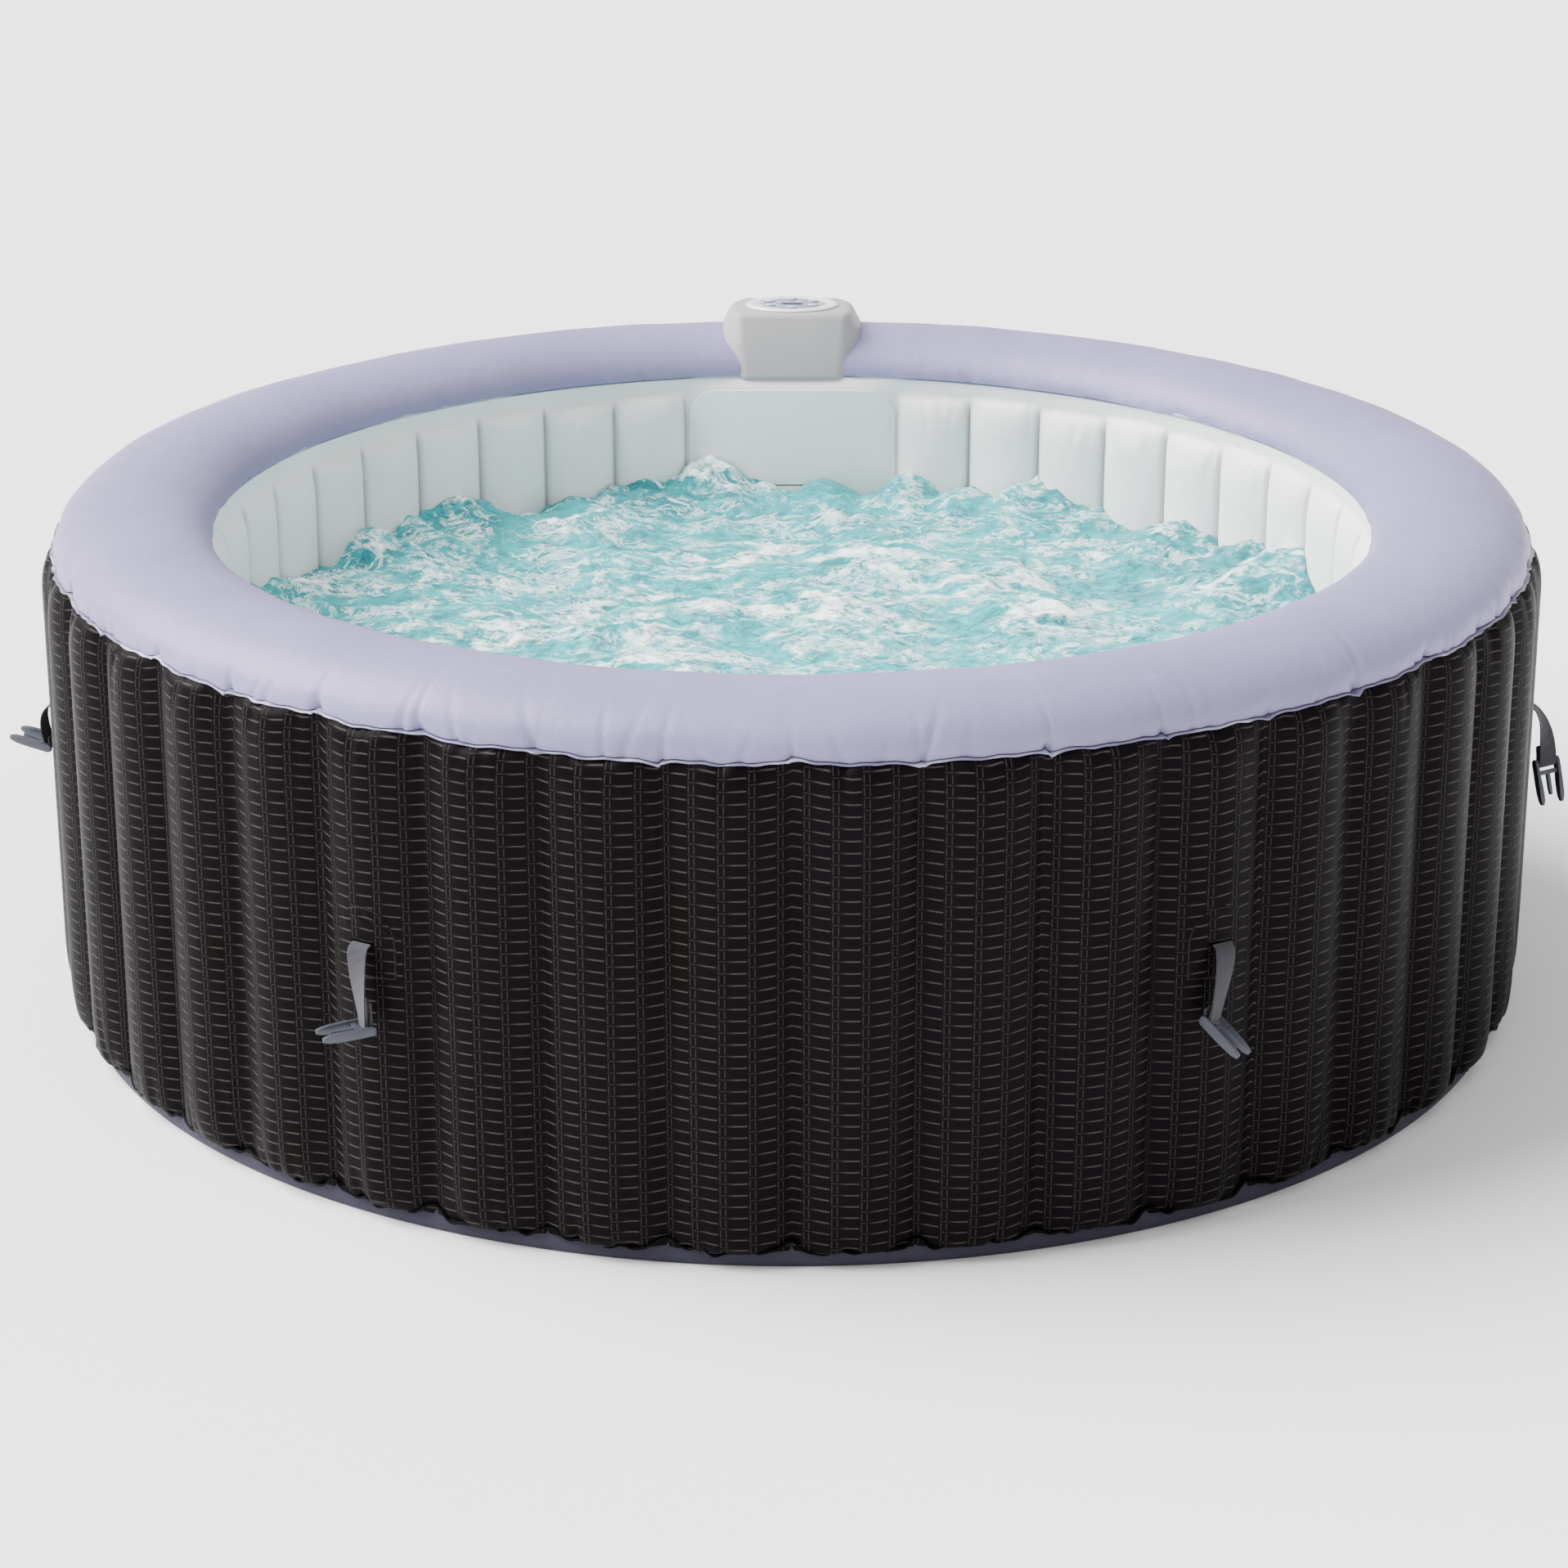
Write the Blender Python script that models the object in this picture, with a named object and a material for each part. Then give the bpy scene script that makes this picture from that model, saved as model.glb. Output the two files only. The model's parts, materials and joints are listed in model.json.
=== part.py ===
"""Round inflatable hot tub with its pump unit built into the wall.

The tub stands on the ground at z = 0 with its axis on Z. The front faces -Y and the pump unit and
its control console are at the back, +Y. An azimuth is counted from the front towards +X.
"""

from math import asin, cos, pi, radians, sin, sqrt

import bmesh
import bpy
from mathutils import Matrix, Vector

# Driving dimensions, in metres ------------------------------------------------------------------
SEAM_RADIUS = 0.912  # seam between the rim and the outer wall
CREST_HEIGHT = 0.641  # top of the inflated rim
RIM_HALF_WIDTH = 0.0966
RIM_HALF_HEIGHT = 0.0552
RIM_END = radians(168)  # how far round its section the rim's sheet goes, from the outer seam
SKIN = 0.0020  # every vinyl sheet
GAP = 0.0004  # between sheets that touch
CHAMBERS = 40  # air chambers round the wall, beside the flat bay at the back
OUTER_BULGE = 0.023
LINER_BULGE = 0.020
BAY_MARGIN_OUTSIDE = 0.015  # the outer wall's flat bay, past each side of the pump unit
BAY_MARGIN_INSIDE = 0.0310  # the liner's flat bay, past each side of the pump unit
RING_STEPS = 48

BASE_LIP = 0.020  # how far the ground sheet turns up
WELT_THICKNESS = 0.003
WELT_WIDTH = 0.026
WELT_REACH = 0.008  # how far it stands out past the seam
FLOOR_THICKNESS = 0.003
RIB_THICKNESS = 0.002
HOOP_HEIGHT = 0.012

UNIT_WIDTH = 0.240  # pump unit
UNIT_WALL = 0.003
UNIT_BOTTOM = 0.050
UNIT_CLEARANCE = 0.004
FILTER_RADIUS = 0.050
FILTER_HEIGHT = 0.200  # height of the filter's axis
FILTER_X = -0.050
FILTER_LENGTH = 0.085
NOZZLE_RADIUS = 0.020
NOZZLE_X = 0.070
NOZZLE_HEIGHT = 0.170
PUMP_RADIUS = 0.042
BLOWER_RADIUS = 0.058
BLOWER_DROP = 0.1304  # from the pump unit's top to the blower's axis
HEATER_LOW = 0.230
HEATER_LENGTH = 0.142
BOARD_DROP = 0.0604  # from the pump unit's top to the control board
BOARD_WIDTH = 0.060
BOARD_HEIGHT = 0.110
PANEL_PLATE = 0.003
FIT = 0.001  # free space round a piece in its hole

GRILLE_WIDTH = 0.200
GRILLE_HEIGHT = 0.240
GRILLE_MIDDLE = 0.300
GRILLE_THICKNESS = 0.004
GRILLE_SLOTS = 7
GLAND_RADIUS = 0.012
CORD_HOLE_RADIUS = 0.004

CONSOLE_TILT = radians(3.9)  # the top leans back
CONSOLE_WALL = 0.003
CONSOLE_DEPTH = 0.148
DIAL_RADIUS = 0.0665  # white ring
PANEL_RADIUS = 0.0493  # disc inside it
BUTTON_RADIUS = 0.0075
BUTTON_CIRCLE = 0.036
BUTTON_TRAVEL = 0.0012
NECK_WIDTH = 0.120
NECK_DEPTH = 0.070

VALVE_RADIUS = 0.018
VALVE_DROP = 0.1324  # from the wall's top edge to the air valve
DRAIN_RADIUS = 0.016
DRAIN_HEIGHT = 0.078

STRAP_HEIGHT = 0.340  # where each buckle strap leaves its patch
STRAP_WIDTH = 0.025
STRAP_THICKNESS = 0.0016
PATCH_RADIUS = 0.038
PATCH_THICKNESS = 0.0015
BUCKLE_LENGTH = 0.054
BUCKLE_WIDTH = 0.036
BUCKLE_THICKNESS = 0.005  # bar and guide
ARM_THICKNESS = 0.0105
ARM_HEEL = 0.007  # how far the arms reach behind the bar
BAR_RADIUS = 0.0015  # half the width of its bar

# Sizes that follow ------------------------------------------------------------------------------
rim_middle_radius = SEAM_RADIUS - RIM_HALF_WIDTH
rim_middle_height = CREST_HEIGHT - RIM_HALF_HEIGHT
inner_edge_radius = SEAM_RADIUS - 2 * RIM_HALF_WIDTH
outer_valley = SEAM_RADIUS - 0.007
liner_valley = inner_edge_radius + 0.003
outer_bay = UNIT_WIDTH + 2 * BAY_MARGIN_OUTSIDE
liner_bay = UNIT_WIDTH + 2 * BAY_MARGIN_INSIDE
outer_bay_y = sqrt(outer_valley**2 - (outer_bay / 2) ** 2)
liner_bay_y = sqrt(liner_valley**2 - (liner_bay / 2) ** 2)
outer_pitch = 2 * (pi - asin(outer_bay / 2 / outer_valley)) / CHAMBERS
liner_pitch = 2 * (pi - asin(liner_bay / 2 / liner_valley)) / CHAMBERS

welt_bottom = BASE_LIP + GAP
wall_bottom = welt_bottom + WELT_THICKNESS + GAP
rim_bottom = rim_middle_height + GAP
top_welt_bottom = rim_bottom - GAP - WELT_THICKNESS
wall_top = top_welt_bottom - GAP
liner_bottom = SKIN + GAP
liner_top = rim_middle_height
floor_top = liner_bottom + FLOOR_THICKNESS

unit_front = liner_bay_y + SKIN + UNIT_CLEARANCE
unit_back = outer_bay_y - SKIN - UNIT_CLEARANCE
unit_middle = (unit_front + unit_back) / 2
unit_top = wall_top - 0.022
blower_height = unit_top - BLOWER_DROP
valve_height = wall_top - VALVE_DROP
panel_back = liner_bay_y - GAP
panel_front = panel_back - PANEL_PLATE


# Modelling helpers ------------------------------------------------------------------------------
def finish(name, shape, material, origin=(0, 0, 0)):
    """Makes an object of a bmesh, with its faces pointing out and its origin at a point."""
    bmesh.ops.recalc_face_normals(shape, faces=shape.faces)
    bmesh.ops.translate(shape, vec=-Vector(origin), verts=shape.verts)
    mesh = bpy.data.meshes.new(name)
    shape.to_mesh(mesh)
    shape.free()
    mesh.materials.append(material)
    mesh.shade_smooth()
    mesh.set_sharp_from_angle(angle=radians(35))
    obj = bpy.data.objects.new(name, mesh)
    obj.location = origin
    bpy.context.scene.collection.objects.link(obj)
    return obj


def make_material(name, colour, roughness, metallic=0.0):
    material = bpy.data.materials.new(name)
    material.use_nodes = True
    shader = material.node_tree.nodes["Principled BSDF"]
    shader.inputs["Base Color"].default_value = (*colour, 1.0)
    shader.inputs["Roughness"].default_value = roughness
    shader.inputs["Metallic"].default_value = metallic
    return material


def closed_grid(loops, closed_round=True):
    """A bmesh through equal loops of points, each loop closed. Open ends are capped."""
    shape = bmesh.new()
    rings = [[shape.verts.new(p) for p in loop] for loop in loops]
    count = len(rings)
    size = len(rings[0])
    for i in range(count if closed_round else count - 1):
        a, b = rings[i], rings[(i + 1) % count]
        for j in range(size):
            k = (j + 1) % size
            shape.faces.new((a[j], a[k], b[k], b[j]))
    if not closed_round:
        shape.faces.new(rings[0])
        shape.faces.new(rings[-1])
    return shape


def turned(profile, steps, matrix=None):
    """A bmesh turned round Z from a closed profile of (radius, height). Points at radius 0 are poles."""
    shape = bmesh.new()
    columns = []
    poles = {j: shape.verts.new((0, 0, z)) for j, (r, z) in enumerate(profile) if r == 0}
    for i in range(steps):
        a = 2 * pi * i / steps
        columns.append(
            [
                poles[j] if j in poles else shape.verts.new((r * sin(a), -r * cos(a), z))
                for j, (r, z) in enumerate(profile)
            ]
        )
    for i in range(steps):
        a, b = columns[i], columns[(i + 1) % steps]
        for j in range(len(profile)):
            k = (j + 1) % len(profile)
            if j in poles and k in poles:
                continue
            corners = list(dict.fromkeys((a[j], a[k], b[k], b[j])))
            shape.faces.new(corners)
    if matrix is not None:
        bmesh.ops.transform(shape, matrix=matrix, verts=shape.verts)
    return shape


def along_y(x, y, z):
    """A matrix that carries a turned shape's +Z to +Y, with its base at the point."""
    return Matrix.Translation((x, y, z)) @ Matrix.Rotation(-pi / 2, 4, "X")


def along_radius(azimuth, radius, z):
    """A matrix that carries a turned shape's +Z outwards at an azimuth, with its base at that radius."""
    return (
        Matrix.Rotation(azimuth, 4, "Z")
        @ Matrix.Translation((0, -radius, z))
        @ Matrix.Rotation(pi / 2, 4, "X")
    )


def tube_profile(inside, outside, start, end):
    return [(inside, start), (outside, start), (outside, end), (inside, end)]


def rod_profile(radius, start, end):
    return [(0, start), (radius, start), (radius, end), (0, end)]


def cup_profile(outside, wall, start, end, floor):
    """A cup that opens at its end."""
    inside = outside - wall
    return [(0, start), (outside, start), (outside, end), (inside, end), (inside, start + floor),
            (0, start + floor)]


def box(low, high):
    shape = bmesh.new()
    bmesh.ops.create_cube(shape, size=1)
    size = [b - a for a, b in zip(low, high)]
    middle = [(a + b) / 2 for a, b in zip(low, high)]
    bmesh.ops.scale(shape, vec=size, verts=shape.verts)
    bmesh.ops.translate(shape, vec=middle, verts=shape.verts)
    return shape


def rounded_plate(width, height, corner, middle_z, y_front, y_back, arc_steps=4):
    """A plate in the XZ plane with round corners."""
    outline = []
    quarters = [(1, 1, 0), (-1, 1, 90), (-1, -1, 180), (1, -1, 270)]
    for sx, sz, start in quarters:
        for i in range(arc_steps + 1):
            a = radians(start + 90 * i / arc_steps)
            outline.append(
                (sx * (width / 2 - corner) + corner * cos(a),
                 middle_z + sz * (height / 2 - corner) + corner * sin(a))
            )
    return closed_grid([[(x, y, z) for x, z in outline] for y in (y_front, y_back)], False)


def cutter(name, shape):
    obj = finish(name, shape, vinyl_white)
    obj.hide_render = True
    obj.display_type = "WIRE"
    return obj


def cut(obj, tool, operation="DIFFERENCE"):
    modifier = obj.modifiers.new(tool.name, "BOOLEAN")
    modifier.operation = operation
    modifier.object = tool
    modifier.solver = "EXACT"


def ring_columns(valley, pitch, bay_width, bay_y, per_chamber, bay_steps):
    """Points round a wall at its seams' radius: (point, outward direction, share of the bulge).

    The share is None in the flat bay, which doesn't bulge at all."""
    columns = []
    for chamber in range(CHAMBERS):
        start = (chamber - CHAMBERS / 2) * pitch
        for step in range(per_chamber):
            a = start + pitch * step / per_chamber
            u = 2 * step / per_chamber - 1
            out = Vector((sin(a), -cos(a), 0))
            beside_bay = chamber == 0 and step == 0
            columns.append((out * valley, out, None if beside_bay else 1 - u * u))
    for step in range(bay_steps):
        x = bay_width * (0.5 - step / bay_steps)
        columns.append((Vector((x, bay_y, 0)), Vector((0, 1, 0)), None))
    return columns


def wall_sheet(name, columns, rows, bulge, material):
    """A sheet one skin thick, bulged between its seams. A negative bulge is inwards.

    rows are (height, share of the bulge).
    """
    side = -1 if bulge < 0 else 1
    loops = []
    for point, out, share in columns:
        front, back = [], []
        for z, swell in rows:
            puff = 0 if share is None else bulge * swell * share + 0.2 * bulge * (1 - swell)
            face = point + out * puff + Vector((0, 0, z))
            front.append(face)
            back.append(face - out * side * SKIN)
        loops.append((front, back))
    shape = bmesh.new()
    verts = [[[shape.verts.new(p) for p in face] for face in pair] for pair in loops]
    last = len(rows) - 1
    for i in range(len(verts)):
        (front, back), (next_front, next_back) = verts[i], verts[(i + 1) % len(verts)]
        for a, b in ((front, next_front), (next_back, back)):
            for j in range(last):
                # both faces of the sheet are split along the same diagonal, so they stay parallel
                if a is front:
                    shape.faces.new((a[j], b[j], b[j + 1]))
                    shape.faces.new((a[j], b[j + 1], a[j + 1]))
                else:
                    shape.faces.new((b[j], a[j + 1], a[j]))
                    shape.faces.new((b[j], b[j + 1], a[j + 1]))
        shape.faces.new((front[0], back[0], next_back[0], next_front[0]))
        shape.faces.new((front[last], next_front[last], next_back[last], back[last]))
    return finish(name, shape, material)


def ellipse_point(angle, offset=0.0):
    """A point of the rim's section, from the outer seam at 0 over the crest to the inner edge at pi."""
    return (
        rim_middle_radius + (RIM_HALF_WIDTH + offset) * cos(angle),
        rim_middle_height + (RIM_HALF_HEIGHT + offset) * sin(angle),
    )


def slab(points, cells):
    """A plate made of cells, each a list of indices into (x, y, half thickness) points."""
    shape = bmesh.new()
    bottom = [shape.verts.new((x, y, -half)) for x, y, half in points]
    top = [shape.verts.new((x, y, half)) for x, y, half in points]
    edges = {}
    for cell in cells:
        shape.faces.new([bottom[i] for i in reversed(cell)])
        shape.faces.new([top[i] for i in cell])
        for a, b in zip(cell, cell[1:] + cell[:1]):
            edges[(a, b)] = True
    for a, b in edges:
        if (b, a) not in edges:
            shape.faces.new((bottom[a], bottom[b], top[b], top[a]))
    unused = [v for v in shape.verts if not v.link_faces]
    bmesh.ops.delete(shape, geom=unused, context="VERTS")
    return shape


def ribbon(points, widths, width, thickness):
    """Webbing along points. widths are the directions its width lies in."""
    loops = []
    for i, point in enumerate(points):
        ahead = points[min(i + 1, len(points) - 1)]
        behind = points[max(i - 1, 0)]
        along = (ahead - behind).normalized()
        across = (widths[i] - along * widths[i].dot(along)).normalized()
        face = along.cross(across)
        corners = [(-1, -1), (1, -1), (1, 1), (-1, 1)]
        loops.append(
            [point + across * a * width / 2 + face * b * thickness / 2 for a, b in corners]
        )
    return closed_grid(loops, False)


def clear_scene():
    for obj in list(bpy.data.objects):
        bpy.data.objects.remove(obj)


# Inflated tub -----------------------------------------------------------------------------------
def make_walls():
    height = wall_top - wall_bottom
    rows = [
        (wall_bottom, 0.35),
        (wall_bottom + 0.07 * height, 0.85),
        (wall_bottom + 0.5 * height, 1.0),
        (wall_bottom + 0.88 * height, 0.90),
        (wall_top, 0.0),
    ]
    columns = ring_columns(outer_valley, outer_pitch, outer_bay, outer_bay_y, 2, 3)
    outer = wall_sheet("outer_wall", columns, rows, OUTER_BULGE, vinyl_woven)

    depth = liner_top - liner_bottom
    rows = [
        (liner_bottom, 0.0),
        (liner_bottom + 0.12 * depth, 0.85),
        (liner_bottom + 0.85 * depth, 0.85),
        (liner_top, 0.0),
    ]
    columns = ring_columns(liner_valley, liner_pitch, liner_bay, liner_bay_y, 2, 3)
    liner = wall_sheet("liner_wall", columns, rows, -LINER_BULGE, vinyl_white)
    return outer, liner


def make_rim():
    steps = 6
    outside = [ellipse_point(RIM_END * i / steps) for i in range(steps + 1)]
    inside = [ellipse_point(RIM_END * i / steps, -SKIN) for i in range(steps + 1)]
    loop = outside + inside[::-1]
    lift = [(r, max(z, rim_bottom)) for r, z in loop]
    rim = finish("rim_cover", turned(lift, RING_STEPS), vinyl_lavender)
    slot = box(
        (-NECK_WIDTH / 2 - FIT, rim_middle_radius - NECK_DEPTH / 2 - FIT, rim_middle_height),
        (NECK_WIDTH / 2 + FIT, rim_middle_radius + NECK_DEPTH / 2 + FIT, CREST_HEIGHT + 0.05),
    )
    cut(rim, cutter("rim_slot", slot))


def make_seams():
    """The welded flanges that stand out where two sheets meet."""
    outer_r = SEAM_RADIUS + WELT_REACH
    finish(
        "rim_welt",
        turned(tube_profile(outer_r - WELT_WIDTH, outer_r, top_welt_bottom,
                            top_welt_bottom + WELT_THICKNESS), RING_STEPS),
        vinyl_lavender,
    )
    base_r = SEAM_RADIUS + 0.007
    finish(
        "bottom_welt",
        turned(tube_profile(base_r - WELT_WIDTH, base_r, welt_bottom, welt_bottom + WELT_THICKNESS),
               RING_STEPS),
        vinyl_black,
    )
    edge_r, edge_z = ellipse_point(RIM_END, -SKIN)
    low = liner_top + GAP
    finish(
        "inner_welt",
        turned(tube_profile(inner_edge_radius + 0.0012, edge_r + 0.006, low, edge_z - GAP), RING_STEPS),
        vinyl_lavender,
    )


def make_base():
    lip_r = SEAM_RADIUS - 0.002
    profile = [(0, 0), (lip_r - 0.004, 0), (lip_r, 0.004), (lip_r, BASE_LIP),
               (lip_r - SKIN, BASE_LIP), (lip_r - SKIN, 0.005), (lip_r - 0.006, SKIN), (0, SKIN)]
    finish("base_sheet", turned(profile, RING_STEPS), vinyl_lavender)
    floor_r = liner_valley - LINER_BULGE - 0.004
    finish("floor_sheet", turned(rod_profile(floor_r, liner_bottom, floor_top), RING_STEPS), vinyl_white)
    ring_out = floor_r - 0.012
    low = floor_top + GAP
    profile = [(ring_out - 0.030, low), (ring_out, low), (ring_out, low + 0.012),
               (ring_out - 0.008, low + 0.020), (ring_out - 0.022, low + 0.020),
               (ring_out - 0.030, low + 0.012)]
    finish("bubble_ring", turned(profile, 36), vinyl_white)


def make_ribs():
    """The webs that hold the two walls together, from each outer seam to the liner seam behind it."""
    low, high = wall_bottom + 0.022, wall_top - 0.035
    inside, outside = liner_valley + SKIN + 0.0015, outer_valley - SKIN - 0.0015
    half = CHAMBERS // 2
    webs = bmesh.new()
    for m in range(-half, half + 1):
        a, b = m * liner_pitch, m * outer_pitch
        start = Vector((inside * sin(a), -inside * cos(a), 0))
        end = Vector((outside * sin(b), -outside * cos(b), 0))
        side = (end - start).normalized().cross(Vector((0, 0, 1))) * RIB_THICKNESS / 2
        corners = [start - side, end - side, end + side, start + side]
        bottom = [webs.verts.new(c + Vector((0, 0, low))) for c in corners]
        top = [webs.verts.new(c + Vector((0, 0, high))) for c in corners]
        webs.faces.new(bottom)
        webs.faces.new(top)
        for j in range(4):
            k = (j + 1) % 4
            webs.faces.new((bottom[j], bottom[k], top[k], top[j]))
    tool = cutter("rib_webs", webs)

    middle = (low + high) / 2
    radius = (inside + outside) / 2
    span = half * (liner_pitch + outer_pitch) / 2
    steps = half
    loops = []
    for i in range(steps + 1):
        a = 1.004 * span * (2 * i / steps - 1)
        out = Vector((sin(a), -cos(a), 0))
        loops.append(
            [
                out * (radius + dr) + Vector((0, 0, middle + dz))
                for dr, dz in ((-0.0015, -HOOP_HEIGHT / 2), (0.0015, -HOOP_HEIGHT / 2),
                               (0.0015, HOOP_HEIGHT / 2), (-0.0015, HOOP_HEIGHT / 2))
            ]
        )
    ribs = finish("wall_ribs", closed_grid(loops, False), vinyl_white)
    cut(ribs, tool, "UNION")


# Pump unit --------------------------------------------------------------------------------------
def half_case(name, front, back, open_side, material):
    """One half of the pump unit's case: a tray whose open side faces the other half."""
    shell = finish(
        name, box((-UNIT_WIDTH / 2, front, UNIT_BOTTOM), (UNIT_WIDTH / 2, back, unit_top)), material
    )
    reach = 0.01
    low_y, high_y = (front - reach, back - UNIT_WALL) if open_side < 0 else (front + UNIT_WALL, back + reach)
    inside = box(
        (-UNIT_WIDTH / 2 + UNIT_WALL, low_y, UNIT_BOTTOM + UNIT_WALL),
        (UNIT_WIDTH / 2 - UNIT_WALL, high_y, unit_top - UNIT_WALL),
    )
    cut(shell, cutter(name + "_inside", inside))
    return shell


def make_unit(outer, liner):
    front_case = half_case("pump_case_front", unit_front, unit_middle - GAP, 1, plastic_grey)
    back_case = half_case("pump_case_back", unit_middle + GAP, unit_back, -1, plastic_grey)

    plate_height = unit_top - UNIT_BOTTOM - 0.030
    plate_middle = unit_top - plate_height / 2 + 0.010
    plate = finish(
        "liner_panel",
        rounded_plate(liner_bay - 0.008, plate_height, 0.038, plate_middle, panel_front, panel_back),
        plastic_white,
    )

    socket_r = FILTER_RADIUS + 0.006
    hole = cutter(
        "filter_hole",
        turned(rod_profile(socket_r + FIT, -0.06, 0.06), 28, along_y(FILTER_X, unit_front, FILTER_HEIGHT)),
    )
    nozzle_hole = cutter(
        "nozzle_hole",
        turned(rod_profile(NOZZLE_RADIUS + FIT, -0.06, 0.06), 20,
               along_y(NOZZLE_X, unit_front, NOZZLE_HEIGHT)),
    )
    for piece in (liner, plate, front_case):
        cut(piece, hole)
        cut(piece, nozzle_hole)

    mouth = panel_front - 0.002
    seat = 0.004
    flange = socket_r + 0.008
    depth = FILTER_LENGTH + 0.012
    socket = [(0, depth), (socket_r, depth), (socket_r, 0.0018), (flange, 0.0018), (flange, 0),
              (socket_r - 0.003, 0), (socket_r - 0.003, depth - 0.004), (0, depth - 0.004)]
    socket_cup = finish("filter_socket", turned(socket, 28, along_y(FILTER_X, mouth - GAP, FILTER_HEIGHT)),
                        plastic_white)
    cut(socket_cup, cutter(
        "socket_port", turned(rod_profile(0.016, 0.05, 0.2), 16, along_y(FILTER_X, mouth, FILTER_HEIGHT))))
    core = FILTER_RADIUS * 0.4
    finish(
        "filter_cartridge",
        turned(tube_profile(core, FILTER_RADIUS, seat, seat + FILTER_LENGTH), 28,
               along_y(FILTER_X, mouth, FILTER_HEIGHT)),
        filter_paper,
        (FILTER_X, mouth, FILTER_HEIGHT),
    )
    cover = [(0, 0), (flange, 0), (flange, -0.004), (flange - 0.006, -0.010), (0, -0.010)]
    cover = finish("filter_cover", turned(cover, 28, along_y(FILTER_X, mouth - 2 * GAP, FILTER_HEIGHT)),
                   plastic_white, (FILTER_X, mouth, FILTER_HEIGHT))
    for level in (-0.028, -0.014, 0.0, 0.014, 0.028):
        slot = box((FILTER_X - 0.032, mouth - 0.02, FILTER_HEIGHT + level - 0.003),
                   (FILTER_X + 0.032, mouth + 0.002, FILTER_HEIGHT + level + 0.003))
        cut(cover, cutter(f"cover_slot_{round(1000 * level)}", slot))

    nozzle = [(NOZZLE_RADIUS - 0.003, -0.014), (NOZZLE_RADIUS + 0.006, -0.014),
              (NOZZLE_RADIUS + 0.006, -0.0006), (NOZZLE_RADIUS, -0.0006), (NOZZLE_RADIUS, 0.040),
              (NOZZLE_RADIUS - 0.003, 0.040)]
    finish("return_nozzle", turned(nozzle, 20, along_y(NOZZLE_X, panel_front, NOZZLE_HEIGHT)), plastic_white)

    volute_y = mouth + depth + 0.003
    volute = cup_profile(PUMP_RADIUS, 0.003, 0, 0.022, 0.003)
    volute = [(r, 0.022 - z) for r, z in volute]
    volute_cup = finish("pump_volute", turned(volute, 24, along_y(FILTER_X, volute_y, FILTER_HEIGHT)),
                        plastic_black)
    cut(volute_cup, cutter(
        "shaft_hole", turned(rod_profile(0.005, 0.01, 0.04), 12, along_y(FILTER_X, volute_y, FILTER_HEIGHT))))
    impeller_r = PUMP_RADIUS - 0.007
    finish(
        "pump_impeller",
        turned([(0, 0.004), (impeller_r, 0.004), (impeller_r, 0.008), (0.006, 0.010), (0.004, 0.0245),
                (0, 0.0245)], 20, along_y(FILTER_X, volute_y, FILTER_HEIGHT)),
        plastic_white,
        (FILTER_X, volute_y, FILTER_HEIGHT),
    )
    finish(
        "pump_motor",
        turned([(0, 0.026), (0.030, 0.026), (0.032, 0.029), (0.032, 0.048), (0.026, 0.052), (0, 0.052)], 20,
               along_y(FILTER_X, volute_y, FILTER_HEIGHT)),
        metal_dark,
    )

    heater_y = (unit_front + unit_back) / 2
    heater = [(0, 0), (0.022, 0), (0.022, HEATER_LENGTH - 0.012), (0.010, HEATER_LENGTH),
              (0, HEATER_LENGTH)]
    finish("heater_tube", turned(heater, 20, Matrix.Translation((NOZZLE_X, heater_y, HEATER_LOW))),
           metal_steel)

    blower_low, blower_high = unit_middle - 0.030, unit_middle + 0.030
    span = blower_high - blower_low
    case = finish(
        "blower_case",
        turned(cup_profile(BLOWER_RADIUS, 0.003, 0, span, 0.003), 28,
               along_y(FILTER_X + 0.010, blower_low, blower_height)),
        plastic_black,
    )
    outlet = box((FILTER_X + 0.010 + 0.6 * BLOWER_RADIUS, blower_low + 0.012, blower_height - 0.045),
                 (FILTER_X + 0.010 + 1.4 * BLOWER_RADIUS, blower_high - 0.012, blower_height - 0.020))
    cut(case, cutter("blower_outlet", outlet))
    fan_r = BLOWER_RADIUS - 0.009
    finish(
        "blower_fan",
        turned([(0, 0.006), (fan_r, 0.006), (fan_r, 0.046), (fan_r - 0.010, 0.046), (fan_r - 0.010, 0.010),
                (0.008, 0.010), (0.008, 0.040), (0, 0.040)], 24,
               along_y(FILTER_X + 0.010, blower_low, blower_height)),
        plastic_white,
        (FILTER_X + 0.010, blower_low, blower_height),
    )
    board_top = unit_top - BOARD_DROP
    finish(
        "control_board",
        box((0.045, unit_back - 0.030, board_top - BOARD_HEIGHT),
            (0.045 + BOARD_WIDTH, unit_back - 0.028, board_top)),
        board_green,
    )

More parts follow.
